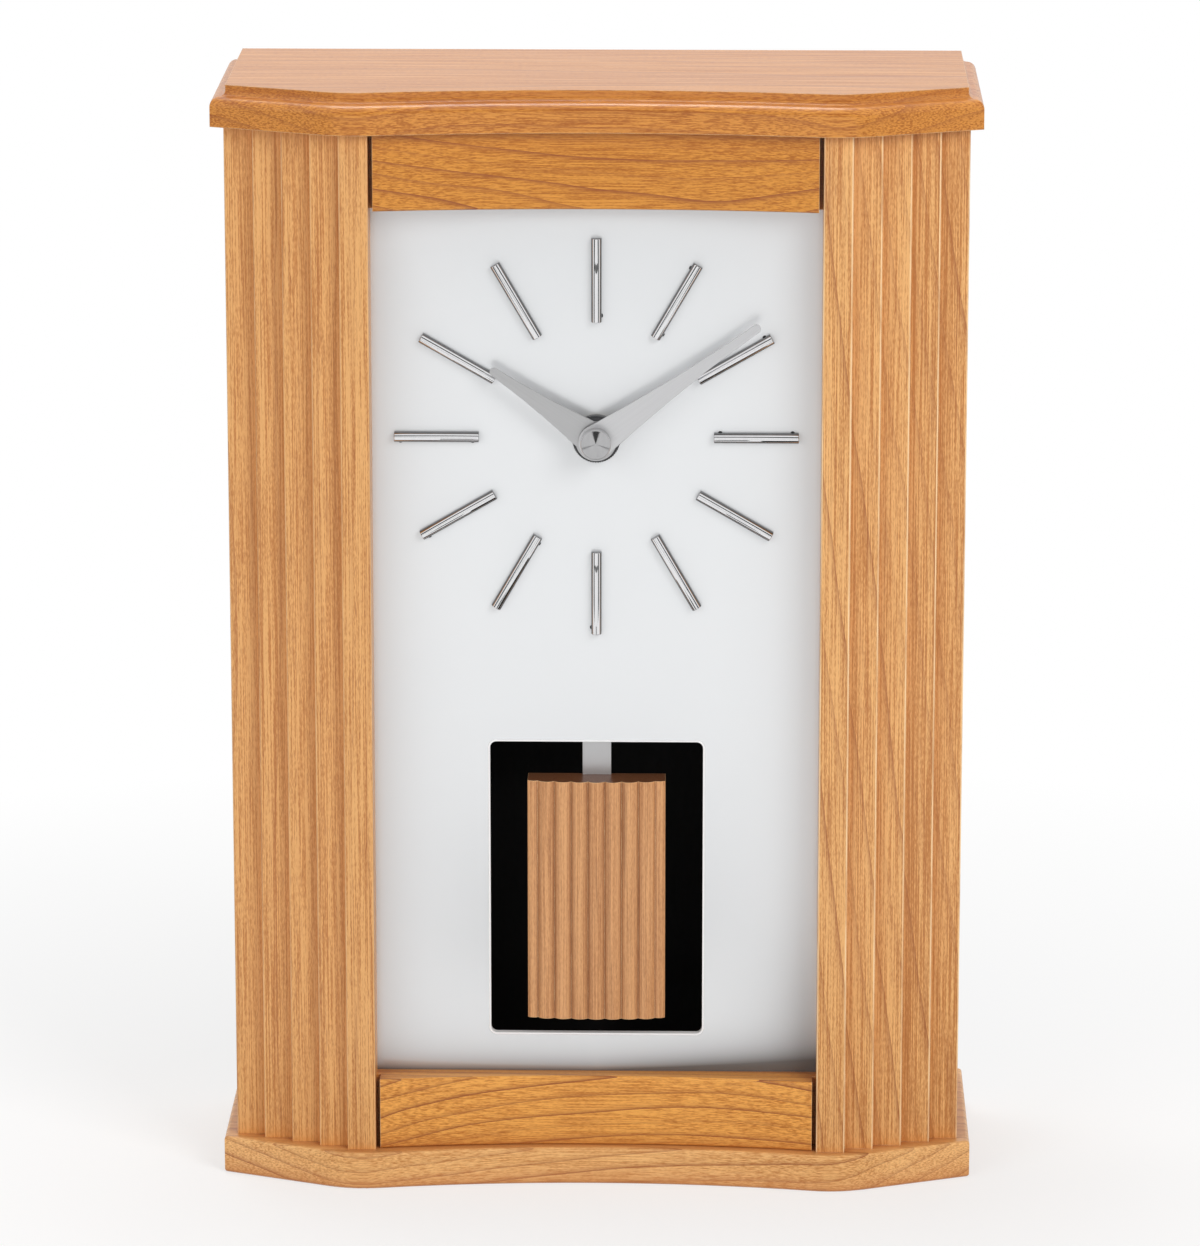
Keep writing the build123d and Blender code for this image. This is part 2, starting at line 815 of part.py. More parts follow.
def battery_contacts():
    """Plates at both ends of the battery, each with a bump that bears on it."""
    wall_x = movement_width / 2 - movement_wall
    plate_x = wall_x - contact_thickness
    end_x = (battery_length + battery_nub_length) / 2 + screw_clearance
    half = contact_width / 2
    low_y = max(battery_y - half, front_wall_y)
    plate = block(plate_x, wall_x, low_y, battery_y + half, battery_z - half, battery_z + half)
    plate += along_x(contact_bump_radius, end_x, plate_x, battery_y, battery_z)
    return [plate, mirrored(plate)]


def circuit_board():
    """Small board behind the drive coil."""
    half = board_width / 2
    half_z = board_height / 2
    return block(
        -half, half, coil_back_y, coil_back_y + board_thickness, magnet_z - half_z, magnet_z + half_z
    ) - [disc(x, z, post_radius + assembly_clearance, coil_back_y, rear_wall_y) for x, z in post_places()]


def drive_coil():
    """Coil behind the bay wall that keeps the pendulum swinging."""
    coil = disc(0, magnet_z, coil_radius, recess_wall_y, coil_back_y)
    return coil - disc(0, magnet_z, coil_bore_radius, recess_wall_y, coil_back_y)


def step_motor():
    """Closed motor and reduction gear beside the hands' arbor."""
    half = motor_width / 2
    return block(
        motor_offset - half,
        motor_offset + half,
        front_wall_y,
        front_wall_y + motor_depth,
        hand_centre_z - motor_height / 2,
        hand_centre_z + motor_height / 2,
    )


def pendulum_pivot_pin():
    """Headed pin in the bay wall that carries the hanger."""
    head_y = hanger_front_y - running_clearance
    pin = disc(0, pivot_z, pivot_pin_radius, head_y, recess_wall_y)
    return pin + disc(0, pivot_z, pivot_head_radius, head_y - pivot_head_height, head_y)


def pendulum_hanger():
    """Moulded hanger that grips the rod and holds the drive magnet."""
    half = hanger_width / 2
    hanger = block(-half, half, hanger_front_y, hanger_back_y, hanger_bottom_z, pivot_z)
    hanger += disc(0, pivot_z, half, hanger_front_y, hanger_back_y)
    hanger -= disc(0, pivot_z, pivot_pin_radius + running_clearance, hanger_front_y, hanger_back_y)
    pocket_y = hanger_back_y - magnet_height - screw_clearance
    hanger -= disc(0, magnet_z, magnet_radius + screw_clearance, pocket_y, hanger_back_y)
    slot_half = rod_width / 2 + screw_clearance
    return hanger - block(
        -slot_half,
        slot_half,
        rod_front_y - screw_clearance,
        rod_back_y + screw_clearance,
        hanger_bottom_z,
        rod_top_z + screw_clearance,
    )


def pendulum_magnet():
    """Disc magnet in the back of the hanger."""
    return disc(0, magnet_z, magnet_radius, hanger_back_y - magnet_height, hanger_back_y)


def bob_screw_places():
    """Screws that hold the bob on the rod."""
    middle_z = (rod_bottom_z + bob_top_z) / 2
    return [middle_z - bob_screw_spacing / 2, middle_z + bob_screw_spacing / 2]


def bob_screw_holes():
    """All the holes for the bob screws."""
    return [screw_hole(0, rod_back_y, z, case_screw_radius, bob_screw_length) for z in bob_screw_places()]


def pendulum_rod():
    """Flat strip from the hanger down the back of the bob."""
    half = rod_width / 2
    return block(-half, half, rod_front_y, rod_back_y, rod_bottom_z, rod_top_z) - bob_screw_holes()


def pendulum_bob():
    """Block with a bowed, reeded front, grooved at the back for the rod."""
    half = bob_width / 2
    edge_y = bob_crown_y + bob_bow + reed_depth
    bow_radius = (half**2 + bob_bow**2) / (2 * bob_bow)

    def bowed(x):
        return edge_y - bob_bow + bow_radius - sqrt(bow_radius**2 - x**2)

    first_x = -reed_count * reed_width / 2
    grooves = [first_x + index * reed_width for index in range(reed_count + 1)]
    stops = [-half] + grooves + [half]
    reeds = []
    for left, right in zip(stops, stops[1:]):
        middle = (left + right) / 2
        outermost = left == -half or right == half
        rise = edge_reed_depth if outermost else reed_depth
        reeds.append(
            ThreePointArc((left, bowed(left)), (middle, bowed(middle) - rise), (right, bowed(right)))
        )
    rear = Polyline((half, bowed(half)), (half, bob_back_y), (-half, bob_back_y), (-half, bowed(-half)))
    outline = make_face(reeds + [rear])
    bob = extrude(Pos(0, 0, bob_bottom_z) * outline, amount=bob_height)
    groove_half = rod_width / 2 + screw_clearance
    bob -= block(
        -groove_half,
        groove_half,
        rod_front_y - screw_clearance,
        bob_back_y,
        rod_bottom_z - screw_clearance,
        bob_top_z,
    )
    return bob - bob_screw_holes()


def back_door():
    """Plain door between the side panels."""
    door = block(-door_edge_x, door_edge_x, door_front_y, door_back_y, door_bottom_z, door_top_z)
    stem = door_knob_stem + press_clearance
    door -= disc(door_edge_x - door_knob_inset, catch_z, stem, door_front_y, door_back_y)
    return door - [
        screw_hole(x, door_back_y, z, hinge_screw_radius, hinge_screw_length)
        for x, z in hinge_screw_places(1)
    ]


def door_knob():
    """Small turned knob whose stem goes through the door."""
    points = [
        (0, -door_thickness),
        (door_knob_stem, -door_thickness),
        (door_knob_stem, 0),
        (door_knob_neck, 0),
        (door_knob_neck, door_knob_neck_height),
        (door_knob_radius, door_knob_swell_height),
        (door_knob_crown, door_knob_height),
        (0, door_knob_height),
    ]
    return turned(points, door_edge_x - door_knob_inset, door_back_y, catch_z)


def hinge_screw_places(side):
    """Screws of both hinges in the door leaves (side 1) or the case leaves (side -1)."""
    x = hinge_x + side * (knuckle_radius + knuckle_gap + hinge_leaf_width / 2)
    return [
        (x, z + end * hinge_screw_spacing / 2) for z in hinge_centres_z for end in (-1, 1)
    ]


def hinge_screws(side):
    """Pan-head screws through the leaves of one side."""
    seat_y = side_back_y + hinge_leaf_thickness
    length = hinge_screw_length + hinge_leaf_thickness - screw_clearance
    return [
        pan_screw(x, seat_y, z, hinge_screw_radius, hinge_screw_head, hinge_screw_head_height, length)
        for x, z in hinge_screw_places(side)
    ]


def upright(radius, z_from, z_to):
    """Round bar on the hinge axis."""
    return Pos(hinge_x, hinge_y, z_from) * extrude(Circle(radius), amount=z_to - z_from)


def hinge_leaves(side):
    """Leaves of both hinges on the door (side 1) or the case (side -1), with their knuckles."""
    near = hinge_x + side * (knuckle_radius + knuckle_gap)
    far = near + side * hinge_leaf_width
    seat_y = side_back_y
    top_y = side_back_y + hinge_leaf_thickness
    bore = hinge_pin_radius + (running_clearance if side > 0 else press_clearance)
    step = knuckle_height + knuckle_gap
    leaves = []
    for centre_z in hinge_centres_z:
        bottom_z = centre_z - hinge_height / 2
        levels = [bottom_z + step] if side > 0 else [bottom_z, bottom_z + 2 * step]
        leaf = block(min(near, far), max(near, far), seat_y, top_y, bottom_z, bottom_z + hinge_height)
        for level in levels:
            top = level + knuckle_height
            wrap_y = hinge_y - knuckle_radius
            leaf += block(min(hinge_x, near), max(hinge_x, near), wrap_y, top_y, level, top)
            leaf += upright(knuckle_radius, level, top)
            leaf -= upright(bore, level, top)
        leaf -= [
            screw_hole(x, top_y, z, hinge_screw_radius, hinge_leaf_thickness)
            for x, z in hinge_screw_places(side)
        ]
        leaves.append(leaf)
    return leaves


def hinge_pins():
    """Pins through the knuckles of both hinges."""
    half = hinge_height / 2
    return [upright(hinge_pin_radius, z - half, z + half) for z in hinge_centres_z]


def left_side_panel():
    """Side panel on the hinged side, drilled for the hinge screws."""
    return mirrored(right_side_panel()) - [
        screw_hole(x, side_back_y, z, hinge_screw_radius, hinge_screw_length)
        for x, z in hinge_screw_places(-1)
    ]


def catch_magnet():
    """Magnet block of the door catch on the side panel."""
    half = catch_height / 2
    face_y = door_front_y - strike_thickness - catch_gap
    return block(
        side_inner_x - catch_width,
        side_inner_x,
        face_y - catch_depth,
        face_y,
        catch_z - half,
        catch_z + half,
    )


def catch_strike():
    """Steel plate on the door that meets the magnet."""
    half = catch_height / 2
    return block(
        side_inner_x - catch_width,
        door_edge_x - door_gap,
        door_front_y - strike_thickness,
        door_front_y,
        catch_z - half,
        catch_z + half,
    )


nodes = {
    "base_board": base_board(),
    "top_board": top_board(),
    "left_pillar": mirrored(right_pillar()),
    "right_pillar": right_pillar(),
    "left_side_panel": left_side_panel(),
    "right_side_panel": right_side_panel(),
    "bottom_rail": rail(base_thickness, opening_bottom_z),
    "top_rail": rail(opening_top_z, pillar_top_z),
    "base_screws": [base_screw(x, y, 0) for x, y in base_screw_places()],
    "dial_plate": dial_plate(),
    "dial_screws": [case_screw(x, dial_back_y, z, case_screw_length) for x, z in dial_screw_places()],
    "hour_markers": hour_markers(),
    "movement_front_case": movement_front_case(),
    "movement_rear_cover": movement_rear_cover(),
    "movement_screws": [
        case_screw(x, movement_back_y, z, movement_screw_length) for x, z in post_places()
    ],
    "threaded_bushing": threaded_bushing(),
    "dial_washer": dial_washer(),
    "dial_nut": dial_nut(),
    "hour_wheel": hour_wheel(),
    "hour_hand": hour_hand(),
    "minute_arbor": minute_arbor(),
    "minute_hand": minute_hand(),
    "hand_cap": hand_cap(),
    "minute_wheel": minute_wheel(),
    "set_knob": set_knob(),
    "battery": battery(),
    "battery_contacts": battery_contacts(),
    "circuit_board": circuit_board(),
    "drive_coil": drive_coil(),
    "step_motor": step_motor(),
    "pendulum_pivot_pin": pendulum_pivot_pin(),
    "pendulum_hanger": pendulum_hanger(),
    "pendulum_magnet": pendulum_magnet(),
    "pendulum_rod": pendulum_rod(),
    "pendulum_bob": pendulum_bob(),
    "bob_screws": [case_screw(0, rod_back_y, z, bob_screw_length) for z in bob_screw_places()],
    "back_door": back_door(),
    "door_knob": door_knob(),
    "hinge_case_leaves": hinge_leaves(-1),
    "hinge_door_leaves": hinge_leaves(1),
    "hinge_pins": hinge_pins(),
    "hinge_case_screws": hinge_screws(-1),
    "hinge_door_screws": hinge_screws(1),
    "catch_magnet": catch_magnet(),
    "catch_strike": catch_strike(),
}

os.makedirs("parts", exist_ok=True)
for name, shape in nodes.items():
    whole = Compound(children=shape) if isinstance(shape, list) else shape
    export_step(whole, f"parts/{name}.step")
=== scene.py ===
"""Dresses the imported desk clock: finishes on its CAD pieces, small details and a studio."""

import logging
import math
from dataclasses import dataclass
from enum import Enum
from typing import Callable, ClassVar, Iterable, Sequence, Union

import bmesh
import bpy
from bpy.types import Material, Node, NodeSocket, NodeTree, Object, bpy_prop_collection
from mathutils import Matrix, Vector


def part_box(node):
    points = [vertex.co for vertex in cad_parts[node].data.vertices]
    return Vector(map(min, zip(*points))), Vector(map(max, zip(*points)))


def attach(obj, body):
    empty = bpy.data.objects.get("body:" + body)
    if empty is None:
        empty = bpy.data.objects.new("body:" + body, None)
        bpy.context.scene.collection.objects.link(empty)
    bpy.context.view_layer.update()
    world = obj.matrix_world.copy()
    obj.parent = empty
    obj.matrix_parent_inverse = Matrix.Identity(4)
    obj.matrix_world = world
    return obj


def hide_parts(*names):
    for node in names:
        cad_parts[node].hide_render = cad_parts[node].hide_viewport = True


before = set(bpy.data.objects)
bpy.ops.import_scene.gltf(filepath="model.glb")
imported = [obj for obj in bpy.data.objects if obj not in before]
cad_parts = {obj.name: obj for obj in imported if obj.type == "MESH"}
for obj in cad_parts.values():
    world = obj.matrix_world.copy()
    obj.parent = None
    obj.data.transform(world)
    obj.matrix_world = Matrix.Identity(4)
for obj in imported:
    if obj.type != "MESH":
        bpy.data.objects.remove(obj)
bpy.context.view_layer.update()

MM = 0.001
NEAR = 0.01 * MM
UNIT = (0.0, 1.0)
UP = Vector((0, 0, 1))
RIGHT = Vector((1, 0, 0))
FORWARD = Vector((0, -1, 0))
BACKWARD = Vector((0, 1, 0))

Colour = tuple[float, float, float, float]
Triple = tuple[float, float, float]
Span = tuple[float, float]
Setting = Union[float, Sequence[float], NodeSocket]
Pattern = tuple[NodeSocket, NodeSocket, NodeSocket]

FIGURE_COLOURS = ("Pale", "Dark", "Pore")
FIGURE_RINGS = ("Ring Width", "Ring Depth", "Ring Lean")
FIGURE_TONES = ("Heart Start", "Heart Depth", "Grain Depth")

report = logging.getLogger("clock")


def rgb(red: float, green: float, blue: float) -> Colour:
    """Return an opaque linear colour."""
    return (red, green, blue, 1.0)


class Grain(Enum):
    """Which way the fibres or the brushing of a piece run, as a turn that brings them upright."""

    UPRIGHT = (0.0, 0.0, 0.0)
    ACROSS = (0.0, -math.pi / 2, 0.0)
    FRONT_TO_BACK = (math.pi / 2, 0.0, 0.0)


class Wiring:
    """Adds shader nodes to one tree and joins them."""

    def __init__(self, tree: NodeTree) -> None:
        """Keep the tree that the nodes go into, and its shader if it has one."""
        self.tree = tree
        self.shader = tree.nodes.get("Principled BSDF")

    def add(self, kind: str, inputs: dict | None = None, **settings: object) -> Node:
        """Add one node.

        Args:
            kind: Blender's name for the node's type.
            inputs: a constant or another node's socket for each input that is set.
            settings: the node's own properties.

        Returns:
            The new node.
        """
        node = self.tree.nodes.new(kind)
        for key, value in settings.items():
            setattr(node, key, value)
        for key, value in (inputs or {}).items():
            if isinstance(value, NodeSocket):
                self.tree.links.new(value, node.inputs[key])
            else:
                node.inputs[key].default_value = value
        return node

    def join(self, target: Node, **values: NodeSocket) -> None:
        """Link sockets to a node's inputs, named with an underscore for a space."""
        for name, value in values.items():
            self.tree.links.new(value, target.inputs[name.replace("_", " ")])

    def math(self, operation: str, first: Setting, second: Setting = 0.0) -> NodeSocket:
        """Return the result of a sum on two values."""
        return self.add("ShaderNodeMath", {0: first, 1: second}, operation=operation).outputs[0]

    def mix(self, factor: Setting, first: Setting, second: Setting) -> NodeSocket:
        """Return a colour between two others."""
        inputs = {0: factor, 6: first, 7: second}
        return self.add("ShaderNodeMix", inputs, data_type="RGBA").outputs[2]

    def remap(self, value: Setting, old: Span, new: Span = UNIT) -> NodeSocket:
        """Return a value moved from one range to another and kept inside it."""
        limits = {"From Min": old[0], "From Max": old[1], "To Min": new[0], "To Max": new[1]}
        return self.add("ShaderNodeMapRange", {"Value": value, **limits}).outputs[0]

    def axes(self, vector: NodeSocket) -> bpy_prop_collection:
        """Return the sockets of a vector's three parts."""
        return self.add("ShaderNodeSeparateXYZ", {0: vector}).outputs

    def noise(
        self, place: Setting, across: float, along: float, detail: float = 2.0
    ) -> NodeSocket:
        """Draw noise that is stretched along the upright axis.

        Args:
            place: the point, in millimetres.
            across: cells per millimetre across the grain.
            along: cells per millimetre along it.
            detail: octaves of finer noise.

        Returns:
            The socket of the noise's value.
        """
        stretched = self.add(
            "ShaderNodeVectorMath", {0: place, 1: (across, across, along)}, operation="MULTIPLY"
        )
        inputs = {"Vector": stretched.outputs[0], "Scale": 1.0, "Detail": detail}
        return self.add("ShaderNodeTexNoise", inputs).outputs[0]

    def place(self, turn: Triple, shift: Triple = (0.0, 0.0, 0.0)) -> NodeSocket:
        """Find the piece's own coordinates, turned so that its grain is upright.

        Args:
            turn: the turn about each axis, in radians.
            shift: how far the pattern is moved, in millimetres.

        Returns:
            The socket of the coordinates, in millimetres.
        """
        own = self.add("ShaderNodeTexCoord").outputs["Object"]
        inputs = {"Vector": own, "Location": shift, "Rotation": turn, "Scale": (1 / MM,) * 3}
        return self.add("ShaderNodeMapping", inputs).outputs[0]

    def effect(self, shared: "Effect", **inputs: Setting) -> bpy_prop_collection:
        """Place a shared effect with its own values and return its outputs."""
        named = {name.replace("_", " "): value for name, value in inputs.items()}
        return self.add("ShaderNodeGroup", named, node_tree=shared.group()).outputs

    def surface(
        self,
        colour: NodeSocket,
        roughness: NodeSocket,
        height: NodeSocket,
        depth: float,
        normal: NodeSocket | None = None,
    ) -> None:
        """Join the shader's colour, its roughness and the pattern that raises its surface.

        Args:
            colour: the colour.
            roughness: the roughness.
            height: the pattern.
            depth: how deep the pattern is, in metres.
            normal: the normal that it is laid over, where that isn't the surface's own.
        """
        inputs = {"Strength": 1.0, "Distance": depth, "Height": height}
        if normal is not None:
            inputs["Normal"] = normal
        bump = self.add("ShaderNodeBump", inputs).outputs[0]
        self.join(self.shader, Base_Color=colour, Roughness=roughness, Normal=bump)


class Effect(Enum):
    """The effects that several finishes share, each one a node group that is built once."""

    WOOD_FIGURE = "wood figure"
    EDGE_WEAR = "edge wear"
    BRUSHED_LINES = "brushed lines"
    MOULDED_SKIN = "moulded skin"
    HANDLING = "handling marks"
    # painted shade in corners and recesses
    RECESS = "recess stain"

    def group(self) -> NodeTree:
        """Find this effect's node group, or build it on first use.

        Returns:
            The group.
        """
        known = bpy.data.node_groups.get(self.value)
        if known:
            return known
        tree = bpy.data.node_groups.new(self.value, "ShaderNodeTree")
        builders: dict[Effect, Callable[[NodeTree], None]] = {
            Effect.WOOD_FIGURE: wood_figure,
            Effect.EDGE_WEAR: edge_wear,
            Effect.BRUSHED_LINES: brushed_lines,
            Effect.MOULDED_SKIN: moulded_skin,
            Effect.HANDLING: handling_marks,
            Effect.RECESS: painted_recess_shade,
        }
        builders[self](tree)
        return tree


def sockets(tree: NodeTree, inputs: dict[str, str], outputs: dict[str, str]) -> tuple[Node, Node]:
    """Give a node group its named sockets.

    Args:
        tree: the group.
        inputs: each input's name and the end of its socket type's name.
        outputs: the same for the outputs.

    Returns:
        The group's input node and its output node.
    """
    for direction, wanted in (("INPUT", inputs), ("OUTPUT", outputs)):
        for name, kind in wanted.items():
            tree.interface.new_socket(name, in_out=direction, socket_type=f"NodeSocket{kind}")
    return tree.nodes.new("NodeGroupInput"), tree.nodes.new("NodeGroupOutput")


def growth_rings(wiring: Wiring, given: bpy_prop_collection) -> NodeSocket:
    """Draw the dark late wood of growth rings that wander round the heart.

    Args:
        wiring: the nodes of the wood's group.
        given: the group's inputs.

    Returns:
        How dark the late wood is.
    """
    drift_cells, drift_reach = (0.02, 0.02, 0.0045), (14.0, 14.0, 0.0)
    late_sharpness, faintest_year = 7.0, 0.3
    place = given["Vector"]
    drawn = wiring.add("ShaderNodeVectorMath", {0: place, 1: drift_cells}, operation="MULTIPLY")
    drift = wiring.add(
        "ShaderNodeTexNoise", {"Vector": drawn.outputs[0], "Scale": 1.0, "Detail": 3.0}
    )
    axes = wiring.axes(place)
    slid = wiring.math("MULTIPLY", axes["Z"], given["Ring Lean"])
    leaning = wiring.add(
        "ShaderNodeCombineXYZ", {0: wiring.math("ADD", axes["X"], slid), 1: axes["Y"]}
    )
    flat = wiring.add(
        "ShaderNodeVectorMath",
        {0: drift.outputs["Color"], 1: drift_reach, 2: leaning.outputs[0]},
        operation="MULTIPLY_ADD",
    )
    reach = wiring.add("ShaderNodeVectorMath", {0: flat.outputs[0]}, operation="LENGTH")
    count = wiring.math("DIVIDE", reach.outputs["Value"], given["Ring Width"])
    year = wiring.add(
        "ShaderNodeTexWhiteNoise", {"W": wiring.math("FLOOR", count)}, noise_dimensions="1D"
    )
    late = wiring.math("POWER", wiring.math("FRACT", count), late_sharpness)
    strength = wiring.remap(year.outputs["Value"], UNIT, (faintest_year, 1.0))
    return wiring.math("MULTIPLY", wiring.math("MULTIPLY", late, strength), given["Ring Depth"])


def wood_figure(tree: NodeTree) -> None:
    """Fill the group that draws rings, fibres, pores and dark streaks of lacquered wood.

    Args:
        tree: the group.
    """
    inputs = {"Vector": "Vector"} | dict.fromkeys(FIGURE_COLOURS, "Color")
    inputs |= dict.fromkeys(FIGURE_RINGS + FIGURE_TONES, "Float")
    source, target = sockets(tree, inputs, {"Color": "Color", "Height": "Float", "Sheen": "Float"})
    fibre_span, fibre_depth, fibre_height = (0.36, 0.64), 0.55, 0.5
    speck_span, speck_depth = (0.32, 0.68), 0.34
    band_span, band_tones = (0.34, 0.66), (0.22, 0.50)
    pore_span, pore_depth = (0.59, 0.70), 0.34
    streak_span, streak_depth = (0.61, 0.73), 0.30
    heart_span = (-0.2, 0.2)
    wiring, given = Wiring(tree), source.outputs
    place = given["Vector"]
    fibre = wiring.noise(place, across=3.4, along=0.026)
    band = wiring.noise(place, across=0.22, along=0.006)
    speck = wiring.noise(place, across=4.0, along=0.80, detail=1.0)
    pores = wiring.remap(wiring.noise(place, across=3.8, along=0.20), pore_span)
    streaks = wiring.noise(place, across=0.60, along=0.020, detail=4.0)
    inside = wiring.math("SUBTRACT", wiring.axes(place)["X"], given["Heart Start"])
    heart = wiring.math("MULTIPLY", wiring.remap(inside, heart_span), given["Heart Depth"])
    fibres = wiring.remap(fibre, fibre_span, (-fibre_depth, fibre_depth))
    specks = wiring.remap(speck, speck_span, (-speck_depth, speck_depth))
    depth = wiring.math("MULTIPLY", wiring.math("ADD", fibres, specks), given["Grain Depth"])
    depth = wiring.math("ADD", depth, wiring.remap(band, band_span, band_tones))
    depth = wiring.math("ADD", depth, heart)
    pored = wiring.math("MULTIPLY", pores, pore_depth)
    pored = wiring.math("MULTIPLY", pored, given["Grain Depth"])
    streaked = wiring.remap(streaks, streak_span, (0.0, streak_depth))
    colour = wiring.mix(depth, given["Pale"], given["Dark"])
    for share in (growth_rings(wiring, given), pored, streaked):
        colour = wiring.mix(share, colour, given["Pore"])
    height = wiring.math("SUBTRACT", wiring.math("MULTIPLY", fibre, fibre_height), pores)
    wiring.join(target, Color=colour, Height=height, Sheen=wiring.remap(fibre, fibre_span))


def painted_recess_shade(tree: NodeTree) -> None:
    """Fill the group that finds corners and recesses by ambient occlusion, for painted shade.

    Args:
        tree: the group.
    """
    source, target = sockets(tree, {"Reach": "Float"}, {"Mask": "Float"})
    open_to_shut = (0.95, 0.45)
    wiring = Wiring(tree)
    shut = wiring.add(
        "ShaderNodeAmbientOcclusion",
        {"Distance": source.outputs["Reach"]},
        samples=8,
        only_local=False,
    )
    wiring.join(target, Mask=wiring.remap(shut.outputs["AO"], open_to_shut))


def edge_wear(tree: NodeTree) -> None:
    """Fill the group that finds a piece's edges, softens them and marks where they are rubbed.

    Args:
        tree: the group.
    """
    source, target = sockets(
        tree, {"Vector": "Vector", "Radius": "Float"}, {"Mask": "Float", "Normal": "Vector"}
    )
    flat_to_edge, patch_span, patch_share = (0.995, 0.88), (0.35, 0.65), (0.35, 1.0)
    wiring = Wiring(tree)
    soft = wiring.add("ShaderNodeBevel", {"Radius": source.outputs["Radius"]}, samples=6).outputs[0]
    true = wiring.add("ShaderNodeNewGeometry").outputs["Normal"]
    likeness = wiring.add("ShaderNodeVectorMath", {0: soft, 1: true}, operation="DOT_PRODUCT")
    rim = wiring.remap(likeness.outputs["Value"], flat_to_edge)
    patches = wiring.noise(source.outputs["Vector"], across=0.25, along=0.25, detail=3.0)
    patchy = wiring.remap(patches, patch_span, patch_share)
    wiring.join(target, Mask=wiring.math("MULTIPLY", rim, patchy), Normal=soft)


def brushed_lines(tree: NodeTree) -> None:
    """Fill the group that draws the fine lines of brushed or drawn metal.

    Args:
        tree: the group.
    """
    source, target = sockets(tree, {"Vector": "Vector"}, {"Lines": "Float", "Height": "Float"})
    contrast = (0.30, 0.70)
    wiring = Wiring(tree)
    coarse = wiring.noise(source.outputs["Vector"], across=4.0, along=0.02)
    fine = wiring.noise(source.outputs["Vector"], across=14.0, along=0.08)
    both = wiring.math("MULTIPLY", wiring.math("ADD", coarse, fine), 0.5)
    wiring.join(target, Lines=wiring.remap(both, contrast), Height=both)


def moulded_skin(tree: NodeTree) -> None:
    """Fill the group that draws the spark-eroded skin of moulded plastic.

    Args:
        tree: the group.
    """
    source, target = sockets(tree, {"Vector": "Vector"}, {"Tone": "Float", "Height": "Float"})
    pits_per_mm, flow_height, contrast = 5.0, 0.3, (0.30, 0.70)
    wiring = Wiring(tree)
    pits = wiring.add(
        "ShaderNodeTexVoronoi", {"Vector": source.outputs["Vector"], "Scale": pits_per_mm}
    )
    flow = wiring.noise(source.outputs["Vector"], across=0.12, along=0.12, detail=3.0)
    height = wiring.math(
        "ADD", pits.outputs["Distance"], wiring.math("MULTIPLY", flow, flow_height)
    )
    wiring.join(target, Tone=wiring.remap(flow, contrast), Height=height)


def handling_marks(tree: NodeTree) -> None:
    """Fill the group that dulls a bright surface where it has been touched and wiped.

    Args:
        tree: the group.
    """
    source, target = sockets(tree, {"Vector": "Vector"}, {"Haze": "Float", "Height": "Float"})
    contrast = (0.35, 0.65)
    wiring = Wiring(tree)
    broad = wiring.noise(source.outputs["Vector"], across=0.08, along=0.08, detail=3.0)
    wiped = wiring.noise(source.outputs["Vector"], across=0.9, along=0.15, detail=3.0)
    haze = wiring.math("MULTIPLY", wiring.math("ADD", broad, wiped), 0.5)
    wiring.join(target, Haze=wiring.remap(haze, contrast), Height=wiped)


@dataclass(frozen=True)
class Finish:
    """A surface that pieces can be given, made into a material on first use."""

    name: str

    def material(self) -> Material:
        """Find this finish's material, or make it on first use.

        Returns:
            The material.
        """
        made = bpy.data.materials.get(self.name)
        if not made:
            made = bpy.data.materials.new(self.name)
            made.use_nodes = True
            self.wire(Wiring(made.node_tree))
        return made

    def wire(self, wiring: Wiring) -> None:
        """Join this finish's pattern to its shader."""
        raise NotImplementedError


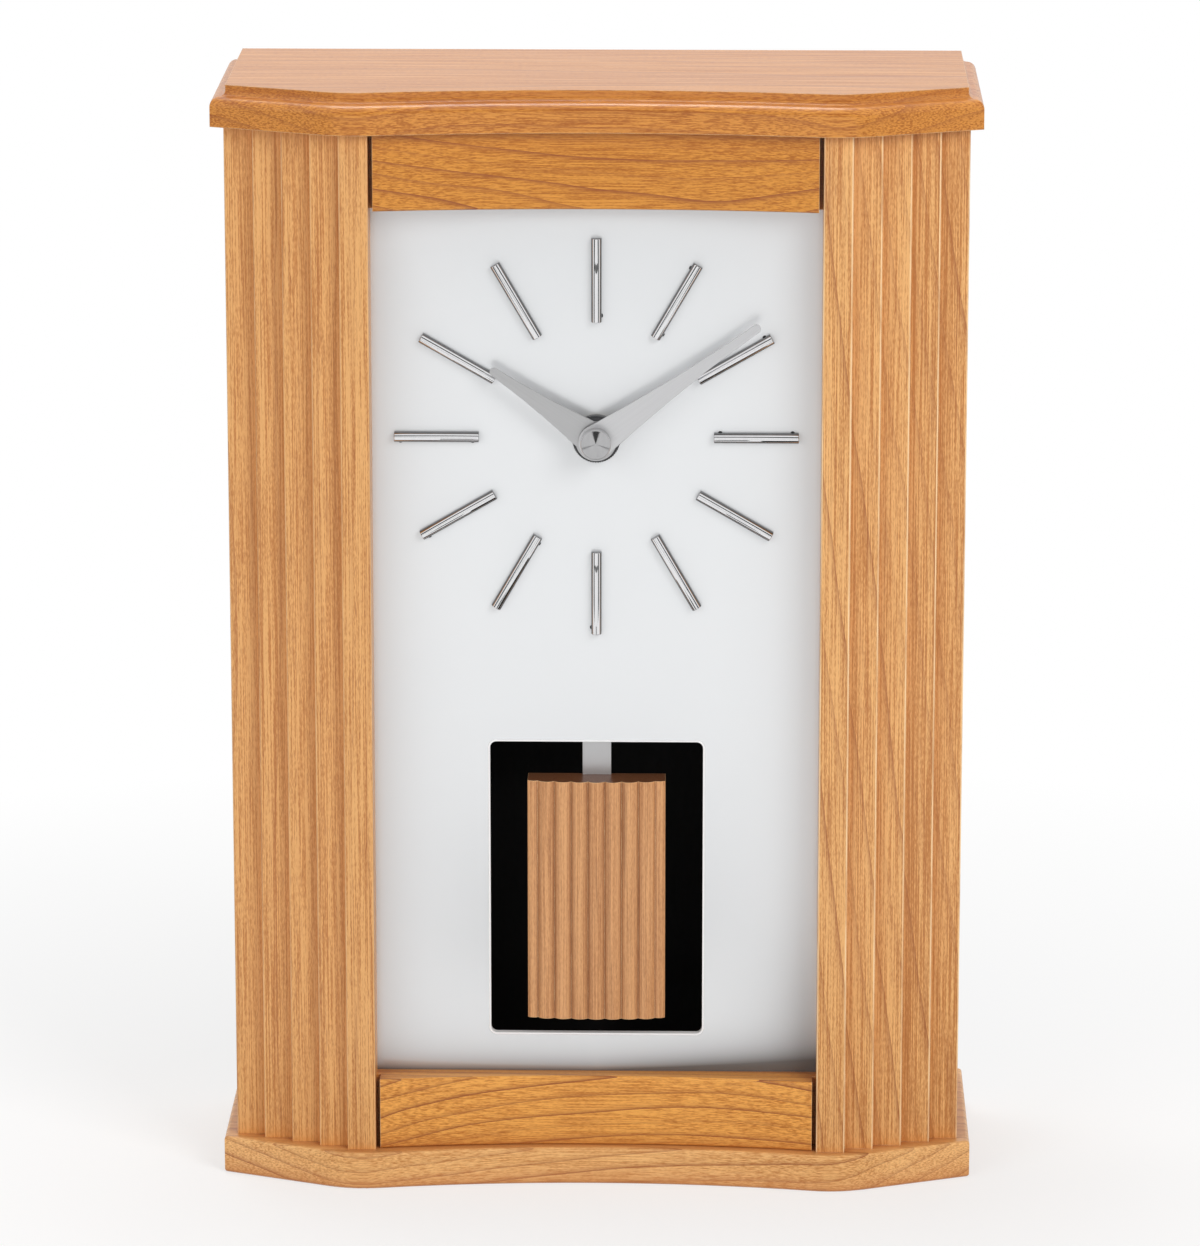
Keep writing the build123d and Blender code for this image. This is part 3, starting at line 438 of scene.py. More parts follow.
@dataclass(frozen=True)
class Wood(Finish):
    """Honey-coloured hardwood under a satin lacquer."""

    grain: Grain = Grain.UPRIGHT
    shift: Triple = (0.0, 0.0, 0.0)
    pale: Colour = rgb(0.80, 0.44, 0.175)
    dark: Colour = rgb(0.49, 0.195, 0.052)
    pore: Colour = rgb(0.27, 0.070, 0.019)
    ring_width: float = 4.2
    ring_depth: float = 0.45
    ring_lean: float = 0.0
    heart_start: float = 0.0
    heart_depth: float = 0.0
    grain_depth: float = 1.0
    edge: float = 0.35 * MM
    # painted shade: corners and recesses within this reach are mixed towards the corner colour
    recess: float = 6.0 * MM
    corner_shade: float = 0.60
    corner_shade_colour: Colour = rgb(0.44, 0.135, 0.026)
    # painted highlight: edges are mixed towards this pale colour, partly wear and partly light that
    # the edges catch
    wear_and_highlight: Colour = rgb(0.96, 0.68, 0.38)
    edge_wear_and_highlight: float = 0.80
    arris_highlight: float = 0.0
    arris_highlight_span: Span = (0.08, 0.35)
    patch_span: Span = (0.35, 0.62)
    patch_share: Span = (0.25, 1.0)
    # end grain is darker; on the bob this also paints the shade on its top face
    end_grain_and_shade: float = 0.15
    end_span: Span = (0.75, 0.95)
    lacquer: float = 0.20
    lacquer_roughness: float = 0.20
    gloss: Span = (0.34, 0.46)
    specular: float = 0.40
    relief: float = 0.015 * MM

    def wire(self, wiring: Wiring) -> None:
        """Join the figure, the painted shade in corners, the worn edges with painted highlights and
        the lacquer's gloss.

        Args:
            wiring: the material's nodes.
        """
        place = wiring.place(self.grain.value, self.shift)
        names = (name.replace(" ", "_") for name in FIGURE_COLOURS + FIGURE_RINGS + FIGURE_TONES)
        drawn = {name: getattr(self, name.lower()) for name in names}
        figure = wiring.effect(Effect.WOOD_FIGURE, Vector=place, **drawn)
        wear = wiring.effect(Effect.EDGE_WEAR, Vector=place, Radius=self.edge)
        # painted shade in corners and recesses, found by ambient occlusion
        shut = wiring.effect(Effect.RECESS, Reach=self.recess)["Mask"]
        corner_shaded = wiring.math("MULTIPLY", shut, self.corner_shade)
        colour = wiring.mix(corner_shaded, figure["Color"], self.corner_shade_colour)
        facing = self.facing(wiring)
        ends = wiring.math("ABSOLUTE", facing["Z"])
        end = wiring.remap(ends, self.end_span, (0.0, self.end_grain_and_shade))
        colour = wiring.mix(end, colour, self.pore)
        # painted highlight along rounded upright edges, joined with the edge wear, which is partly
        # painted highlight too
        turning = wiring.math("ABSOLUTE", wiring.math("MULTIPLY", facing["X"], facing["Y"]))
        arris_highlight = wiring.remap(turning, self.arris_highlight_span, (0.0, self.arris_highlight))
        patches = wiring.noise(place, across=0.4, along=0.05, detail=3.0)
        patchy = wiring.remap(patches, self.patch_span, self.patch_share)
        wear_and_highlight_mask = wiring.math(
            "MAXIMUM",
            wiring.math("MULTIPLY", wear["Mask"], self.edge_wear_and_highlight),
            wiring.math("MULTIPLY", arris_highlight, patchy),
        )
        colour = wiring.mix(wear_and_highlight_mask, colour, self.wear_and_highlight)
        gloss = wiring.remap(figure["Sheen"], UNIT, self.gloss)
        wiring.surface(colour, gloss, figure["Height"], self.relief, wear["Normal"])
        wiring.shader.inputs["Specular IOR Level"].default_value = self.specular
        wiring.shader.inputs["Coat Weight"].default_value = self.lacquer
        wiring.shader.inputs["Coat Roughness"].default_value = self.lacquer_roughness

    def facing(self, wiring: Wiring) -> bpy_prop_collection:
        """Find which way the surface faces against the grain.

        Args:
            wiring: the material's nodes.

        Returns:
            The sockets of the three parts, of which Z is along the grain.
        """
        outward = wiring.add("ShaderNodeTexCoord").outputs["Normal"]
        inputs = {"Vector": outward, "Rotation": self.grain.value}
        upright = wiring.add("ShaderNodeMapping", inputs, vector_type="NORMAL")
        return wiring.axes(upright.outputs[0])


@dataclass(frozen=True)
class Patterned(Finish):
    """A finish whose two colours are mixed by one pattern."""

    colour: Colour
    second: Colour
    turn: Triple = Grain.UPRIGHT.value
    gloss: Span = UNIT
    edge: float = 0.0
    relief: float = 0.0
    metallic: float = 0.0
    specular: float = 0.5

    def pattern(self, wiring: Wiring, place: NodeSocket) -> Pattern:
        """Return the share of the second colour, the sheen and the height."""
        raise NotImplementedError

    def wire(self, wiring: Wiring) -> None:
        """Join the pattern, and the softened edges where they show.

        Args:
            wiring: the material's nodes.
        """
        place = wiring.place(self.turn)
        share, sheen, height = self.pattern(wiring, place)
        colour, normal = wiring.mix(share, self.colour, self.second), None
        if self.edge:
            wear = wiring.effect(Effect.EDGE_WEAR, Vector=place, Radius=self.edge)
            colour, normal = wiring.mix(wear["Mask"], colour, self.second), wear["Normal"]
        gloss = wiring.remap(sheen, UNIT, self.gloss)
        wiring.surface(colour, gloss, height, self.relief, normal)
        wiring.shader.inputs["Metallic"].default_value = self.metallic
        wiring.shader.inputs["Specular IOR Level"].default_value = self.specular


@dataclass(frozen=True)
class PaintedBoard(Patterned):
    """Board painted matte, with the fibres just showing through."""

    colour: Colour = rgb(0.018, 0.018, 0.019)
    second: Colour = rgb(0.045, 0.042, 0.040)
    gloss: Span = (0.72, 0.86)
    edge: float = 0.5 * MM
    relief: float = 0.05 * MM
    specular: float = 0.25
    shown: float = 0.25
    contrast: Span = (0.3, 0.7)

    def pattern(self, wiring: Wiring, place: NodeSocket) -> Pattern:
        """Draw the fibres under the roller's texture."""
        fibre = wiring.noise(place, across=1.2, along=0.05, detail=3.0)
        return wiring.math("MULTIPLY", fibre, self.shown), wiring.remap(fibre, self.contrast), fibre


@dataclass(frozen=True)
class BrushedMetal(Patterned):
    """Satin metal with fine lines along one way."""

    gloss: Span = (0.32, 0.40)
    edge: float = 0.15 * MM
    relief: float = 0.004 * MM
    metallic: float = 1.0

    def pattern(self, wiring: Wiring, place: NodeSocket) -> Pattern:
        """Draw the brushing."""
        brushed = wiring.effect(Effect.BRUSHED_LINES, Vector=place)
        return brushed["Lines"], brushed["Lines"], brushed["Height"]


@dataclass(frozen=True)
class MouldedPlastic(Patterned):
    """Moulded plastic with an eroded skin."""

    gloss: Span = (0.48, 0.60)
    edge: float = 0.35 * MM
    relief: float = 0.02 * MM

    def pattern(self, wiring: Wiring, place: NodeSocket) -> Pattern:
        """Draw the skin and the flow of the plastic."""
        skin = wiring.effect(Effect.MOULDED_SKIN, Vector=place)
        return skin["Tone"], skin["Tone"], skin["Height"]


@dataclass(frozen=True)
class Laminate(Patterned):
    """Green board with copper tracks under its resist."""

    colour: Colour = rgb(0.020, 0.11, 0.045)
    second: Colour = rgb(0.045, 0.20, 0.075)
    turn: Triple = Grain.FRONT_TO_BACK.value
    gloss: Span = (0.25, 0.40)
    relief: float = 0.03 * MM
    rows_per_mm: float = 0.35
    track_width: float = 0.05

    def pattern(self, wiring: Wiring, place: NodeSocket) -> Pattern:
        """Draw the raised tracks.

        Args:
            wiring: the material's nodes.
            place: the point, in millimetres.

        Returns:
            The tracks as share and height, with handling marks as sheen.
        """
        inputs = {"Vector": place, "Scale": self.rows_per_mm, "Mortar Size": self.track_width}
        tracks = wiring.add("ShaderNodeTexBrick", inputs).outputs["Fac"]
        return tracks, wiring.effect(Effect.HANDLING, Vector=place)["Haze"], tracks


@dataclass(frozen=True)
class Winding(Patterned):
    """Enamelled copper wire wound in close turns."""

    colour: Colour = rgb(0.16, 0.05, 0.02)
    second: Colour = rgb(0.56, 0.22, 0.09)
    turn: Triple = Grain.FRONT_TO_BACK.value
    gloss: Span = (0.5, 0.3)
    relief: float = 0.06 * MM
    metallic: float = 0.8
    turns_per_mm: float = 4.0
    scale_per_turn: float = 0.314

    def pattern(self, wiring: Wiring, place: NodeSocket) -> Pattern:
        """Draw the turns of wire as bands along the coil.

        Args:
            wiring: the material's nodes.
            place: the point, in millimetres.

        Returns:
            The turns as share, sheen and height.
        """
        inputs = {"Vector": place, "Scale": self.turns_per_mm * self.scale_per_turn}
        wave = wiring.add("ShaderNodeTexWave", inputs, wave_type="BANDS", bands_direction="Z")
        return (wave.outputs["Fac"],) * 3


@dataclass(frozen=True)
class Ferrite(Patterned):
    """Sintered magnet with a grey speckled skin."""

    colour: Colour = rgb(0.055, 0.055, 0.060)
    second: Colour = rgb(0.14, 0.14, 0.15)
    gloss: Span = (0.65, 0.5)
    relief: float = 0.02 * MM
    contrast: Span = (0.5, 0.7)

    def pattern(self, wiring: Wiring, place: NodeSocket) -> Pattern:
        """Draw the specks of the sintered grain."""
        specks = wiring.noise(place, across=4.0, along=4.0, detail=3.0)
        return (wiring.remap(specks, self.contrast),) * 3


@dataclass(frozen=True)
class PolishedMetal(Finish):
    """Plated or turned metal with a bright face."""

    colour: Colour = rgb(0.80, 0.80, 0.81)
    hazed: Colour = rgb(0.74, 0.74, 0.75)
    roughness: float = 0.07
    haze: float = 0.07
    edge: float = 0.12 * MM
    # painted reflection: faces that turn sideways are darkened; a flank of 1 leaves them bright
    flank: float = 1.0
    painted_flank_reflection: Colour = rgb(0.02, 0.02, 0.02)
    face_to_flank: Span = (0.80, 0.62)
    relief: float = 0.001 * MM

    def wire(self, wiring: Wiring) -> None:
        """Join the handling marks, the softened edges and the painted dark reflection on flanks.

        Args:
            wiring: the material's nodes.
        """
        place = wiring.place(Grain.UPRIGHT.value)
        marks = wiring.effect(Effect.HANDLING, Vector=place)
        wear = wiring.effect(Effect.EDGE_WEAR, Vector=place, Radius=self.edge)
        tone = wiring.mix(marks["Haze"], self.colour, self.hazed)
        outward = wiring.add("ShaderNodeTexCoord").outputs["Normal"]
        front = wiring.math("ABSOLUTE", wiring.axes(outward)["Y"])
        painted_flank_share = wiring.remap(front, self.face_to_flank, (0.0, 1.0 - self.flank))
        colour = wiring.mix(painted_flank_share, tone, self.painted_flank_reflection)
        gloss = wiring.remap(marks["Haze"], UNIT, (self.roughness, self.roughness + self.haze))
        wiring.surface(colour, gloss, marks["Height"], self.relief, wear["Normal"])
        wiring.shader.inputs["Metallic"].default_value = 1.0


@dataclass(frozen=True)
class CellWrap(Finish):
    """Printed film round a battery: a dark body, a copper-coloured end and bare steel caps."""

    body: Colour = rgb(0.018, 0.018, 0.020)
    band: Colour = rgb(0.52, 0.24, 0.08)
    steel: Colour = rgb(0.62, 0.62, 0.63)
    half_length: float = 24.0
    band_start: float = 9.0
    gloss: Span = (0.22, 0.36)
    relief: float = 0.004 * MM

    def wire(self, wiring: Wiring) -> None:
        """Join the bands along the cell and the scuffs on its film.

        Args:
            wiring: the material's nodes.
        """
        place = wiring.place(Grain.UPRIGHT.value)
        along = wiring.axes(place)["X"]
        marks = wiring.effect(Effect.HANDLING, Vector=place)
        ended = wiring.math("GREATER_THAN", along, self.band_start)
        bare = wiring.math("GREATER_THAN", wiring.math("ABSOLUTE", along), self.half_length)
        colour = wiring.mix(bare, wiring.mix(ended, self.body, self.band), self.steel)
        gloss = wiring.remap(marks["Haze"], UNIT, self.gloss)
        wiring.surface(colour, gloss, marks["Height"], self.relief)
        wiring.join(wiring.shader, Metallic=bare)


@dataclass(frozen=True)
class DialSatin(Finish):
    """Satin silver-white plate with a fine sprayed grain, and painted shade at its rim and its
    foot.
    """

    colour: Colour = rgb(0.82, 0.835, 0.85)
    shade: Colour = rgb(0.80, 0.815, 0.83)
    # painted shade: the plate is darkened towards this colour near its sides and top
    rim: Colour = rgb(0.40, 0.41, 0.42)
    roughness: float = 0.25
    spread: float = 0.006
    contrast: Span = (0.3, 0.7)
    metallic: float = 0.50
    half_width: float = 62.1
    top: float = 267.3
    side_reach: float = 32.0
    top_reach: float = 50.0
    top_share: float = 0.8
    rim_shade_power: float = 1.6
    rim_shade_depth: float = 0.0
    # painted shadow: the plate is darkened upwards from this height, where the bottom rail meets it
    foot: float = 29.0
    foot_shadow_fade: float = 2.3
    foot_shadow_depth: float = 0.0
    foot_shade: Colour = rgb(0.10, 0.10, 0.10)
    fade_growth: float = 2.0
    depth_growth: float = 2.2
    darkest: float = 0.90
    edge: float = 0.2 * MM
    relief: float = 0.0003 * MM

    def wire(self, wiring: Wiring) -> None:
        """Join the spray's grain, the painted shade at its rim and foot, and the softened edges.

        Args:
            wiring: the material's nodes.
        """
        place = wiring.place(Grain.UPRIGHT.value)
        spray = wiring.noise(place, across=5.0, along=5.0)
        cloud = wiring.noise(place, across=0.03, along=0.03)
        wear = wiring.effect(Effect.EDGE_WEAR, Vector=place, Radius=self.edge)
        axes = wiring.axes(place)
        # painted shade at the rim, then painted shadow at the foot
        rim = self.painted_rim_shade(wiring, axes)
        tone = wiring.mix(rim, wiring.mix(cloud, self.colour, self.shade), self.rim)
        colour = wiring.mix(self.painted_foot_shadow(wiring, axes), tone, self.foot_shade)
        gloss = wiring.remap(spray, self.contrast, (self.roughness, self.roughness + self.spread))
        wiring.surface(colour, gloss, spray, self.relief, wear["Normal"])
        wiring.shader.inputs["Metallic"].default_value = self.metallic

    def painted_rim_shade(self, wiring: Wiring, axes: bpy_prop_collection) -> NodeSocket:
        """Find the painted shade along both sides and the top.

        Args:
            wiring: the material's nodes.
            axes: the three parts of the point.

        Returns:
            The share of the painted shade's colour at the rim.
        """
        across = wiring.math("ABSOLUTE", axes["X"])
        side = wiring.remap(across, (self.half_width - self.side_reach, self.half_width))
        upwards = (self.top - self.top_reach, self.top)
        upper = wiring.remap(axes["Z"], upwards, (0.0, self.top_share))
        near = wiring.math("POWER", wiring.math("MAXIMUM", side, upper), self.rim_shade_power)
        return wiring.math("MULTIPLY", near, self.rim_shade_depth)

    def painted_foot_shadow(self, wiring: Wiring, axes: bpy_prop_collection) -> NodeSocket:
        """Find the painted shadow at the foot, which grows to the right.

        Args:
            wiring: the material's nodes.
            axes: the three parts of the point.

        Returns:
            The share of the painted shadow's colour.
        """
        rightward = (0.0, self.half_width)
        fades = (self.foot_shadow_fade, self.fade_growth * self.foot_shadow_fade)
        depths = (self.foot_shadow_depth, self.depth_growth * self.foot_shadow_depth)
        below = wiring.math("SUBTRACT", self.foot, axes["Z"])
        drop = wiring.math("DIVIDE", below, wiring.remap(axes["X"], rightward, fades))
        heavy = wiring.remap(axes["X"], rightward, depths)
        fade = wiring.math("MULTIPLY", wiring.math("EXPONENT", drop), heavy)
        return wiring.math("MINIMUM", fade, self.darkest)


# the marker bars get a painted dark reflection along their flanks
MARKER_CHROME = PolishedMetal(
    "marker chrome", roughness=0.03, haze=0.03, edge=0.04 * MM, flank=0.25
)
TURNED_CHROME = PolishedMetal(
    "turned chrome",
    rgb(0.47, 0.47, 0.475),
    rgb(0.43, 0.43, 0.435),
    roughness=0.10,
    haze=0.05,
    edge=0.06 * MM,
)
BLACK_NICKEL = PolishedMetal(
    "black nickel", rgb(0.055, 0.055, 0.058), rgb(0.085, 0.085, 0.088), roughness=0.20, haze=0.10
)
ZINC = PolishedMetal(
    "zinc plate", rgb(0.60, 0.60, 0.62), rgb(0.50, 0.50, 0.51), roughness=0.28, haze=0.14
)
BRASS = PolishedMetal(
    "lacquered brass", rgb(0.74, 0.52, 0.22), rgb(0.60, 0.40, 0.16), roughness=0.20, haze=0.12
)
BLACK_PLASTIC = MouldedPlastic(
    "black moulding", rgb(0.025, 0.025, 0.027), rgb(0.040, 0.040, 0.043)
)
GREY_PLASTIC = MouldedPlastic("grey moulding", rgb(0.20, 0.20, 0.21), rgb(0.26, 0.26, 0.27))
WHITE_PLASTIC = MouldedPlastic("white moulding", rgb(0.74, 0.74, 0.71), rgb(0.80, 0.80, 0.78))
STUD_DARK = MouldedPlastic("dark stud", rgb(0.010, 0.010, 0.010), rgb(0.020, 0.020, 0.020))
# the dial face carries the painted rim shade and foot shadow; the white edge and the strip have
# none
DIAL_FACE = DialSatin("satin dial", rim_shade_depth=0.23, foot_shadow_depth=0.90)
DIAL_EDGE = DialSatin(
    "white dial edge", rgb(0.90, 0.90, 0.90), rgb(0.86, 0.86, 0.86), roughness=0.35, metallic=0.0
)
ROD_SATIN = DialSatin(
    "satin strip", rgb(0.66, 0.66, 0.665), rgb(0.62, 0.62, 0.625), roughness=0.40, metallic=0.90
)


class Part(Enum):
    """What is picked out on a piece that is open."""

    FACE = 1
    EDGE = 2


class Bench:
    """Hand tools: Blender's own operators, used on one piece at a time."""

    @staticmethod
    def clear() -> None:
        """Leave edit mode and let go of everything."""
        if bpy.context.mode != "OBJECT":
            bpy.ops.object.mode_set(mode="OBJECT")
        bpy.ops.object.select_all(action="DESELECT")

    @staticmethod
    def take(piece: Object) -> None:
        """Make a piece the only one in hand.

        Args:
            piece: the piece.
        """
        Bench.clear()
        piece.select_set(True)
        bpy.context.view_layer.objects.active = piece

    @staticmethod
    def edit(piece: Object) -> None:
        """Open a piece for editing with all of it selected.

        Args:
            piece: the piece.
        """
        Bench.take(piece)
        bpy.ops.object.mode_set(mode="EDIT")
        bpy.ops.mesh.select_mode(type="VERT")
        bpy.ops.mesh.select_all(action="SELECT")

    @staticmethod
    def apply() -> None:
        """Put the place, turn and scale of the piece in hand in its mesh."""
        bpy.ops.object.transform_apply(location=True, rotation=True, scale=True)

    @staticmethod
    def pull(way: Vector) -> None:
        """Extrude what is selected."""
        bpy.ops.mesh.extrude_region_move(TRANSFORM_OT_translate={"value": way})

    @staticmethod
    def pick(piece: Object, part: Part, wanted: Callable[[Vector, Vector], bool]) -> None:
        """Select some faces or edges of a piece that is open.

        Args:
            piece: the piece.
            part: which of the two.
            wanted: the test for a face's middle and normal, or for an edge's two ends.
        """
        bpy.ops.mesh.select_mode(type=part.name)
        mesh = bmesh.from_edit_mesh(piece.data)
        if part is Part.FACE:
            for face in mesh.faces:
                face.select_set(wanted(face.calc_center_median(), face.normal))
        else:
            for edge in mesh.edges:
                edge.select_set(wanted(*(corner.co for corner in edge.verts)))
        mesh.select_flush_mode()
        bmesh.update_edit_mesh(piece.data)

    @staticmethod
    def settle(piece: Object, name: str, smooth_angle: float = 32.0) -> Object:
        """Close a piece, put its place in its mesh and shade it.

        Args:
            piece: the piece that is in hand.
            name: its name.
            smooth_angle: edges flatter than this many degrees are shaded smooth.

        Returns:
            The same piece.
        """
        Bench.edit(piece)
        bpy.ops.mesh.remove_doubles(threshold=0.0005 * MM)
        bpy.ops.mesh.normals_make_consistent(inside=False)
        bpy.ops.object.mode_set(mode="OBJECT")
        Bench.apply()
        bpy.ops.object.shade_smooth_by_angle(angle=math.radians(smooth_angle))
        piece.name = name
        piece.data.name = name
        return piece

    @staticmethod
    def turn(
        name: str,
        profile: Iterable[Span],
        foot: Vector,
        axis: Vector,
        steps: int = 64,
        smooth_angle: float = 32.0,
    ) -> Object:
        """Turn a profile on a lathe.

        Args:
            name: the piece's name.
            profile: points of (radius, distance along the axis), in metres.
            foot: the point on the axis where the distance is nought.
            axis: the way the distance runs.
            steps: sides of the turning.
            smooth_angle: edges flatter than this many degrees are shaded smooth.

        Returns:
            The turned piece.
        """
        side = axis.orthogonal().normalized()
        points = [foot + side * radius + axis * along for radius, along in profile]
        Bench.clear()
        bpy.ops.mesh.primitive_plane_add(size=MM, location=(0, 0, 0))
        piece = bpy.context.object
        Bench.edit(piece)
        bpy.ops.mesh.merge(type="CENTER")
        bpy.ops.transform.translate(value=points[0])
        for before, after in zip(points, points[1:]):
            Bench.pull(after - before)
        bpy.ops.mesh.select_all(action="SELECT")
        bpy.ops.mesh.spin(steps=steps, angle=2 * math.pi, center=foot, axis=axis)
        return Bench.settle(piece, name, smooth_angle)

    @staticmethod
    def cut(piece: Object, cutter: Object) -> None:
        """Cut one piece with another and throw the cutter away.

        Args:
            piece: the piece that stays.
            cutter: the piece that is taken off it.
        """
        Bench.take(piece)
        knife = piece.modifiers.new("cut", "BOOLEAN")
        knife.operation = "DIFFERENCE"
        knife.solver = "EXACT"
        knife.object = cutter
        bpy.ops.object.modifier_apply(modifier=knife.name)
        bpy.data.objects.remove(cutter)

    @staticmethod
    def copies(piece: Object, places: Sequence[Vector]) -> Object:
        """Copy a piece to several places and join the copies.

        Args:
            piece: the piece, made at the first place.
            places: all the places.

        Returns:
            The joined piece.
        """
        made = [piece]
        for place in places[1:]:
            Bench.take(piece)
            bpy.ops.object.duplicate()
            bpy.ops.transform.translate(value=place - places[0])
            Bench.apply()
            made.append(bpy.context.object)
        return Bench.join(made)

    @staticmethod
    def join(pieces: Sequence[Object]) -> Object:
        """Join pieces into the first of them.

        Args:
            pieces: the pieces.

        Returns:
            The first of them.
        """
        Bench.clear()
        for piece in pieces:
            piece.select_set(True)
        bpy.context.view_layer.objects.active = pieces[0]
        bpy.ops.object.join()
        return pieces[0]


def middle(node: str) -> Vector:
    """Return the middle of a CAD node's box."""
    low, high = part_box(node)
    return (low + high) / 2


def dress(finish: Finish, *nodes: str) -> None:
    """Give CAD nodes a finish.

    Args:
        finish: the finish.
        nodes: the nodes' names.
    """
    for node in nodes:
        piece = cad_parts[node]
        if not piece.material_slots:
            piece.data.materials.append(None)
        for place in piece.material_slots:
            place.material = finish.material()
        report.info("%s: %s", node, finish.name)


def install(piece: Object, finish: Finish, body: str, slot: str, *nodes: str) -> None:
    """Finish a modelled piece and hang it on a body.

    Args:
        piece: the piece.
        finish: its finish.
        body: the body that it moves with.
        slot: the record's material slot; not used.
        nodes: the CAD nodes that it stands for.
    """
    piece.data.materials.clear()
    piece.data.materials.append(finish.material())
    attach(piece, body)
    if nodes:
        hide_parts(*nodes)
    report.info("%s: modelled, %d faces, %s", piece.name, len(piece.data.polygons), finish.name)


@dataclass(frozen=True)
class Screw:
    """A small screw with a cross recess, modelled in place of a plain CAD one."""

    radius: float
    head: float
    length: float
    height: float = 1.0 * MM
    rim: float = 0.1 * MM
    point: float = 1.5 * MM
    crown: float = 0.72
    recess_depth: float = 0.45
    recess_reach: float = 0.62
    recess_width: float = 0.20
    steps: int = 32

    def cutter(self, depth: float, foot: Vector, axis: Vector) -> Object:
        """Model the bit that cuts the cross recess.

        Args:
            depth: how deep the recess is.
            foot: the middle of the head's top.
            axis: the way out of the head.

        Returns:
            The cutter, set in the head.
        """
        width = self.head * self.recess_width
        Bench.clear()
        bpy.ops.mesh.primitive_cube_add(size=1.0)
        cutter = bpy.context.object
        Bench.edit(cutter)
        bpy.ops.transform.resize(value=(width, width, 2 * depth))
        Bench.pick(cutter, Part.FACE, lambda _, normal: abs(normal.z) < 0.5)
        arm = self.head * self.recess_reach - width / 2
        bpy.ops.mesh.extrude_faces_move(TRANSFORM_OT_shrink_fatten={"value": arm})
        Bench.clear()
        cutter.rotation_mode = "QUATERNION"
        cutter.rotation_quaternion = axis.to_track_quat("Z", "Y")
        cutter.location = foot
        return cutter

    def pan_heads(self, name: str, places: Sequence[Vector]) -> Object:
        """Model pan-head screws that are driven towards the front.

        Args:
            name: the piece's name.
            places: the middle of each head's seat.

        Returns:
            All the screws as one piece.
        """
        profile = [
            (0.0, -self.length),
            (self.radius * 0.3, -self.length + self.point * 0.3),
            (self.radius, -self.length + self.point),
            (self.radius, 0.0),
            (self.head, 0.0),
            (self.head, self.height * 0.45),
            (self.head * 0.93, self.height * 0.75),
            (self.head * self.crown, self.height * 0.95),
            (0.0, self.height),
        ]
        screw = Bench.turn(name, profile, places[0], BACKWARD, self.steps)
        top = places[0] + BACKWARD * self.height
        Bench.cut(screw, self.cutter(self.height * self.recess_depth, top, BACKWARD))
        return Bench.copies(Bench.settle(screw, name), places)

    def countersunk(self, name: str, places: Sequence[Vector]) -> Object:
        """Model countersunk screws that are driven up from below.

        Args:
            name: the piece's name.
            places: the middle of each head's face.

        Returns:
            All the screws as one piece.
        """
        profile = [
            (0.0, 0.0),
            (self.head, 0.0),
            (self.head, self.rim),
            (self.radius, self.head - self.radius),
            (self.radius, self.length - self.point),
            (0.0, self.length),
        ]
        screw = Bench.turn(name, profile, places[0], UP, self.steps)
        Bench.cut(screw, self.cutter(self.radius * self.recess_depth, places[0], -UP))
        return Bench.copies(Bench.settle(screw, name), places)

    def fit(self, node: str, columns: int, seat_y: float, body: str) -> None:
        """Put pan heads in place of a CAD node's screws, in two rows that its box spans.

        Args:
            node: the node of screws along Y.
            columns: columns of screws, one or two.
            seat_y: the depth of the seats.
            body: the body that they move with.
        """
        low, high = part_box(node)
        sides = (low.x + self.head, high.x - self.head)
        if columns == 1:
            sides = ((low.x + high.x) / 2,)
        levels = (low.z + self.head, high.z - self.head)
        seats = [Vector((x, seat_y, z)) for x in sides for z in levels]
        install(self.pan_heads(f"{node}_recessed", seats), ZINC, body, "zinc_steel", node)


